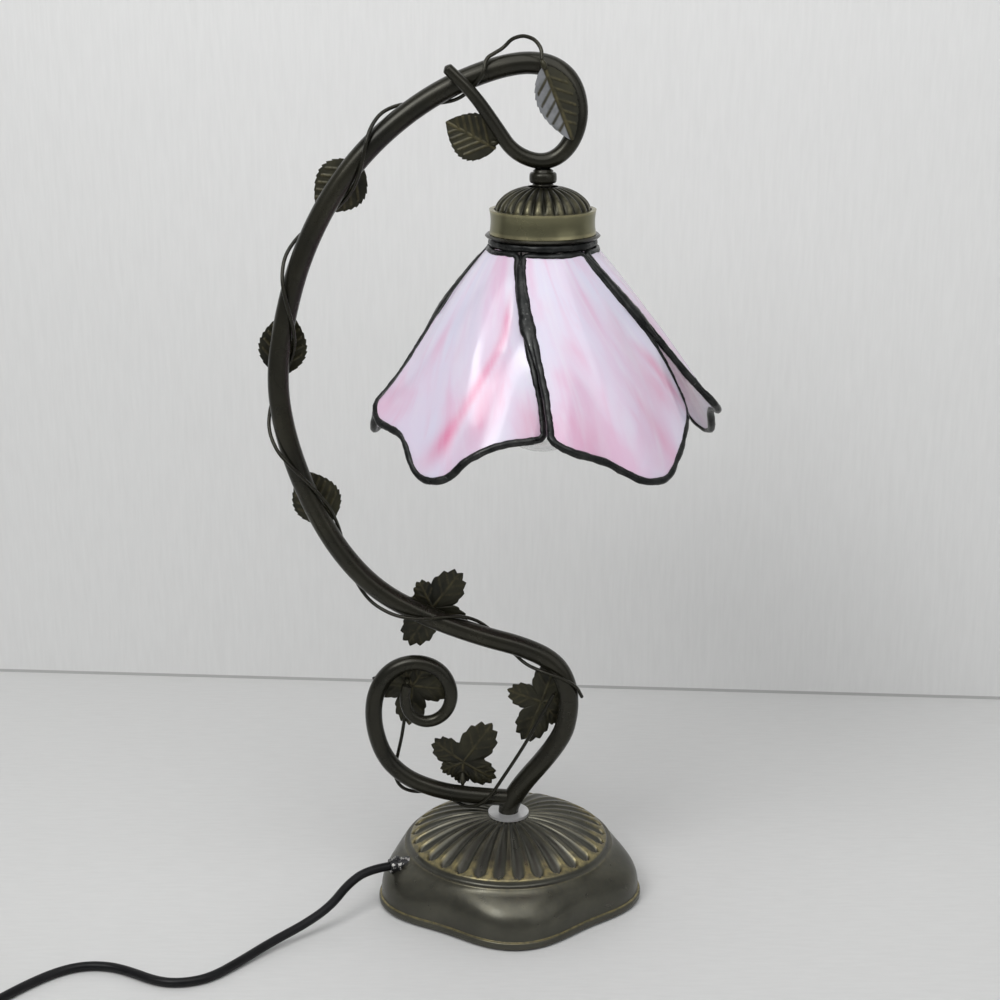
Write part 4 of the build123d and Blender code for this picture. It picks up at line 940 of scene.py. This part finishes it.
def make_base():
    """The casting's outer skin, ring by ring from the floor up to the seat."""
    around = FLUTES * 26
    rows = []
    for inset, height, shine in (
        (5, 1.0, 0), (0.7, 1.0, 0), (0.1, 1.5, 0.1), (0, 2.2, 0), (0, 4.0, 0), (0.25, 4.7, 0.15),
        (0.75, 5.0, 0.7), (1.15, 5.05, 1.0), (1.45, 5.15, 0.5), (1.5, 5.5, 0),
    ):
        rows.append((lambda t, i=inset, h=height: base_row(t, i, 0, 1, h), lambda t, s=shine: s))
    for step in range(1, BODY_STEPS):
        share = step / BODY_STEPS
        rows.append(
            (
                lambda t, s=share: base_row(t, BODY_INSET, RING_RADIUS, 1 - s**3, BODY_FOOT + BODY_RISE * s),
                lambda t, s=share: 0.06 * s,
            )
        )
    # Ridge ring and dome foot. The gold on the ring's rows is a painted highlight along its shoulder.
    for radius, height, shine in (
        (60.3, 28.2, 0.1), (60.1, 28.7, 0.2), (59.5, 29.0, 0.12), (58.6, 28.9, 0), (57.6, 29.2, 0),
        (57.1, 30.2, 0), (56.9, 31.2, 0.05),
    ):
        rows.append((lambda t, r=radius, h=height: base_row(t, 0, r, 0, h), lambda t, s=shine: s))

    def dome(share):
        """Radius and height of the dome, from its rim to its seat."""
        radius = DOME_RIM[0] + (DOME_SEAT - DOME_RIM[0]) * share
        return radius, DOME_RIM[1] + DOME_RISE * share + DOME_BULGE * 4 * share * (1 - share)

    def flute_depth(turn, radius):
        pitch = 2 * math.pi / FLUTES
        off = abs((turn + pitch / 2) % pitch - pitch / 2) * radius
        half = FLUTE_SHARE * pitch * radius
        end = (FLUTE_END - radius) / (FLUTE_SHARE * pitch * FLUTE_END)
        half *= math.sqrt(max(0.0, 1 - max(0.0, 1 - end) ** 2)) if end > 0 else 0.0
        if off >= half:
            return 0.0
        return (1 - (off / half) ** 2) ** 0.75

    def dome_point(turn, share):
        radius, height = dome(share)
        deep = flute_depth(turn, radius) * (FLUTE_DEEP - FLUTE_EASE * share)
        return (radius * math.cos(turn), radius * math.sin(turn), height - deep)

    def dome_rub(turn, share):
        radius = dome(share)[0]
        along = max(0.12, 0.85 * math.exp(-((share - 0.08) / 0.16) ** 2))
        return (1 - min(1.0, 1.6 * flute_depth(turn, radius))) * along

    for step in range(DOME_STEPS):
        share = step / (DOME_STEPS - 1)
        rows.append((lambda t, s=share: dome_point(t, s), lambda t, s=share: dome_rub(t, s)))
    rows.append((lambda t: base_row(t, 0, SEAT_HOLE, 0, SEAT_HEIGHT), lambda t: 0))
    points, gold_share = [], []
    for place, shine in rows:
        for step in range(around):
            turn = 2 * math.pi * step / around
            points.append(place(turn))
            gold_share.append(shine(turn))
    obj = add_mesh("base_skin", points, grid_faces(around, len(rows), wrap=True))
    store(obj, "gold_share", gold_share)
    return dress(obj, BASE, "stand", "bronze_base", "base_casting")


make_base()


# Stem, scroll and tendril

STEM_RADIUS = 5.75
SCROLL_RADIUS = 4.85
VINE_RADIUS = 1.0
STEM_TAPER = 0.48
SCROLL_TAPER = 0.42
TAPER_POWER = 0.7
TENDRIL = [
    (25.5, -1, 120), (17, -2, 104), (7, -3, 86), (-4, -5, 69), (-11, -6.8, 58.5), (-17.5, -5.2, 52.6),
    (-25, -1, 50.3), (-33, 4.6, 52.6), (-40, 6.4, 55.6), (-47, 5.6, 57), (-55, 4.6, 56.8), (-63, 5.4, 59.6),
    (-66.5, 7, 68), (-63.5, 7.2, 81), (-60.5, 6.2, 95), (-59, 5.7, 107),
]
STEM_ROUTE = [
    (0, 0, 47.1), (0, 0, 55), (30, 0, 91), (34.5, 0, 110), (33, 0, 127), (25, 0, 140), (8, 0, 148.5),
    (-16, 0, 155), (-45, 0, 166), (-73, 0, 181), (-95, 0, 205.9), (-112, 0, 239.9), (-122.5, 0, 274.1),
    (-125.5, 0, 305), (-119, 0, 340.1), (-109, 0, 372), (-92, 0, 404), (-69, 1.5, 431), (-38, 4, 454),
    (-4, 5.2, 467.5), (18, 5, 469), (32, 3.5, 460),
]
TAIL = [
    (37, 1.2, 442), (31, 0, 425), (18.5, 0, 417.1), (2, -2, 423), (-7, -4.5, 437), (-18, -6.5, 453),
    (-31, -7, 465.5), (-32.2, -7, 466.6), (-33, -7, 467.3),
]
SCROLL = [
    (-1, 0, 55.5), (-22, 0, 56.8), (-42, 0, 60.5), (-60, 0, 68.5), (-72, 0, 82),
    (-77.5, 0, 103), (-75.5, 0, 122), (-66, 0, 135.5),
]
CURL = [
    (-51, 0, 140), (-37.5, -0.5, 134.5), (-31.5, -1, 121), (-35, -1.5, 108.5), (-46, -2, 102.5),
    (-56.5, -2.5, 107.5), (-59.5, -3, 119), (-57.5, -3, 126),
]
stem = add_curve("stem", STEM_ROUTE + TAIL, STEM_RADIUS, 16)
stem.data.bevel_resolution = 12
for place, point in enumerate(stem.data.splines[0].points):
    past = max(0, place - len(STEM_ROUTE) + 1) / (len(TAIL) - 2)
    point.radius = 1 - STEM_TAPER * min(1.0, past) ** TAPER_POWER
stem.data.splines[0].points[-2].radius = 0.5
stem.data.splines[0].points[-1].radius = 0.05
dress(stem, STEM, "stand", "bronze_dark", "stem_tube", "stem_loop")
scroll = add_curve("scroll", SCROLL + CURL, SCROLL_RADIUS, 16)
scroll.data.bevel_resolution = 10
for place, point in enumerate(scroll.data.splines[0].points):
    past = max(0, place - len(SCROLL) + 1) / len(CURL)
    point.radius = 1 - SCROLL_TAPER * past**TAPER_POWER
dress(scroll, STEM, "stand", "bronze_dark", "scroll_tube")
dress(add_curve("tendril", TENDRIL, VINE_RADIUS), STEM, "stand", "bronze_dark", "vine_tendril")


# Solids that keep their shape

FINISHES = {
    STEM: ["vine_wire", "shade_ring"],
    COLLAR: ["fitter_collar", "lampholder_cap"],
    WASHER: ["stem_washer"],
    STEEL: ["base_plate", "base_screws", "base_nipple", "base_lock_washer", "base_nut",
            "head_nipple", "head_nut"],
    FELT: ["base_felt"],
    PORCELAIN: ["lampholder_body", "lampholder_ring"],
    BRASS: ["lampholder_shell", "lampholder_contact", "plug_blades"],
    TIN: ["bulb_cap"],
    BULB: ["bulb_glass", "bulb_stem"],
    FILAMENT: ["bulb_filaments"],
    RUBBER: ["inner_wire"],
    PLASTIC: ["switch_lower", "switch_upper", "switch_rocker", "cord_tie", "plug_body"],
    BUSHING: ["cord_gland"],
}
for material, names in FINISHES.items():
    for name in names:
        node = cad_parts[name]
        node.data.materials.clear()
        node.data.materials.append(material)
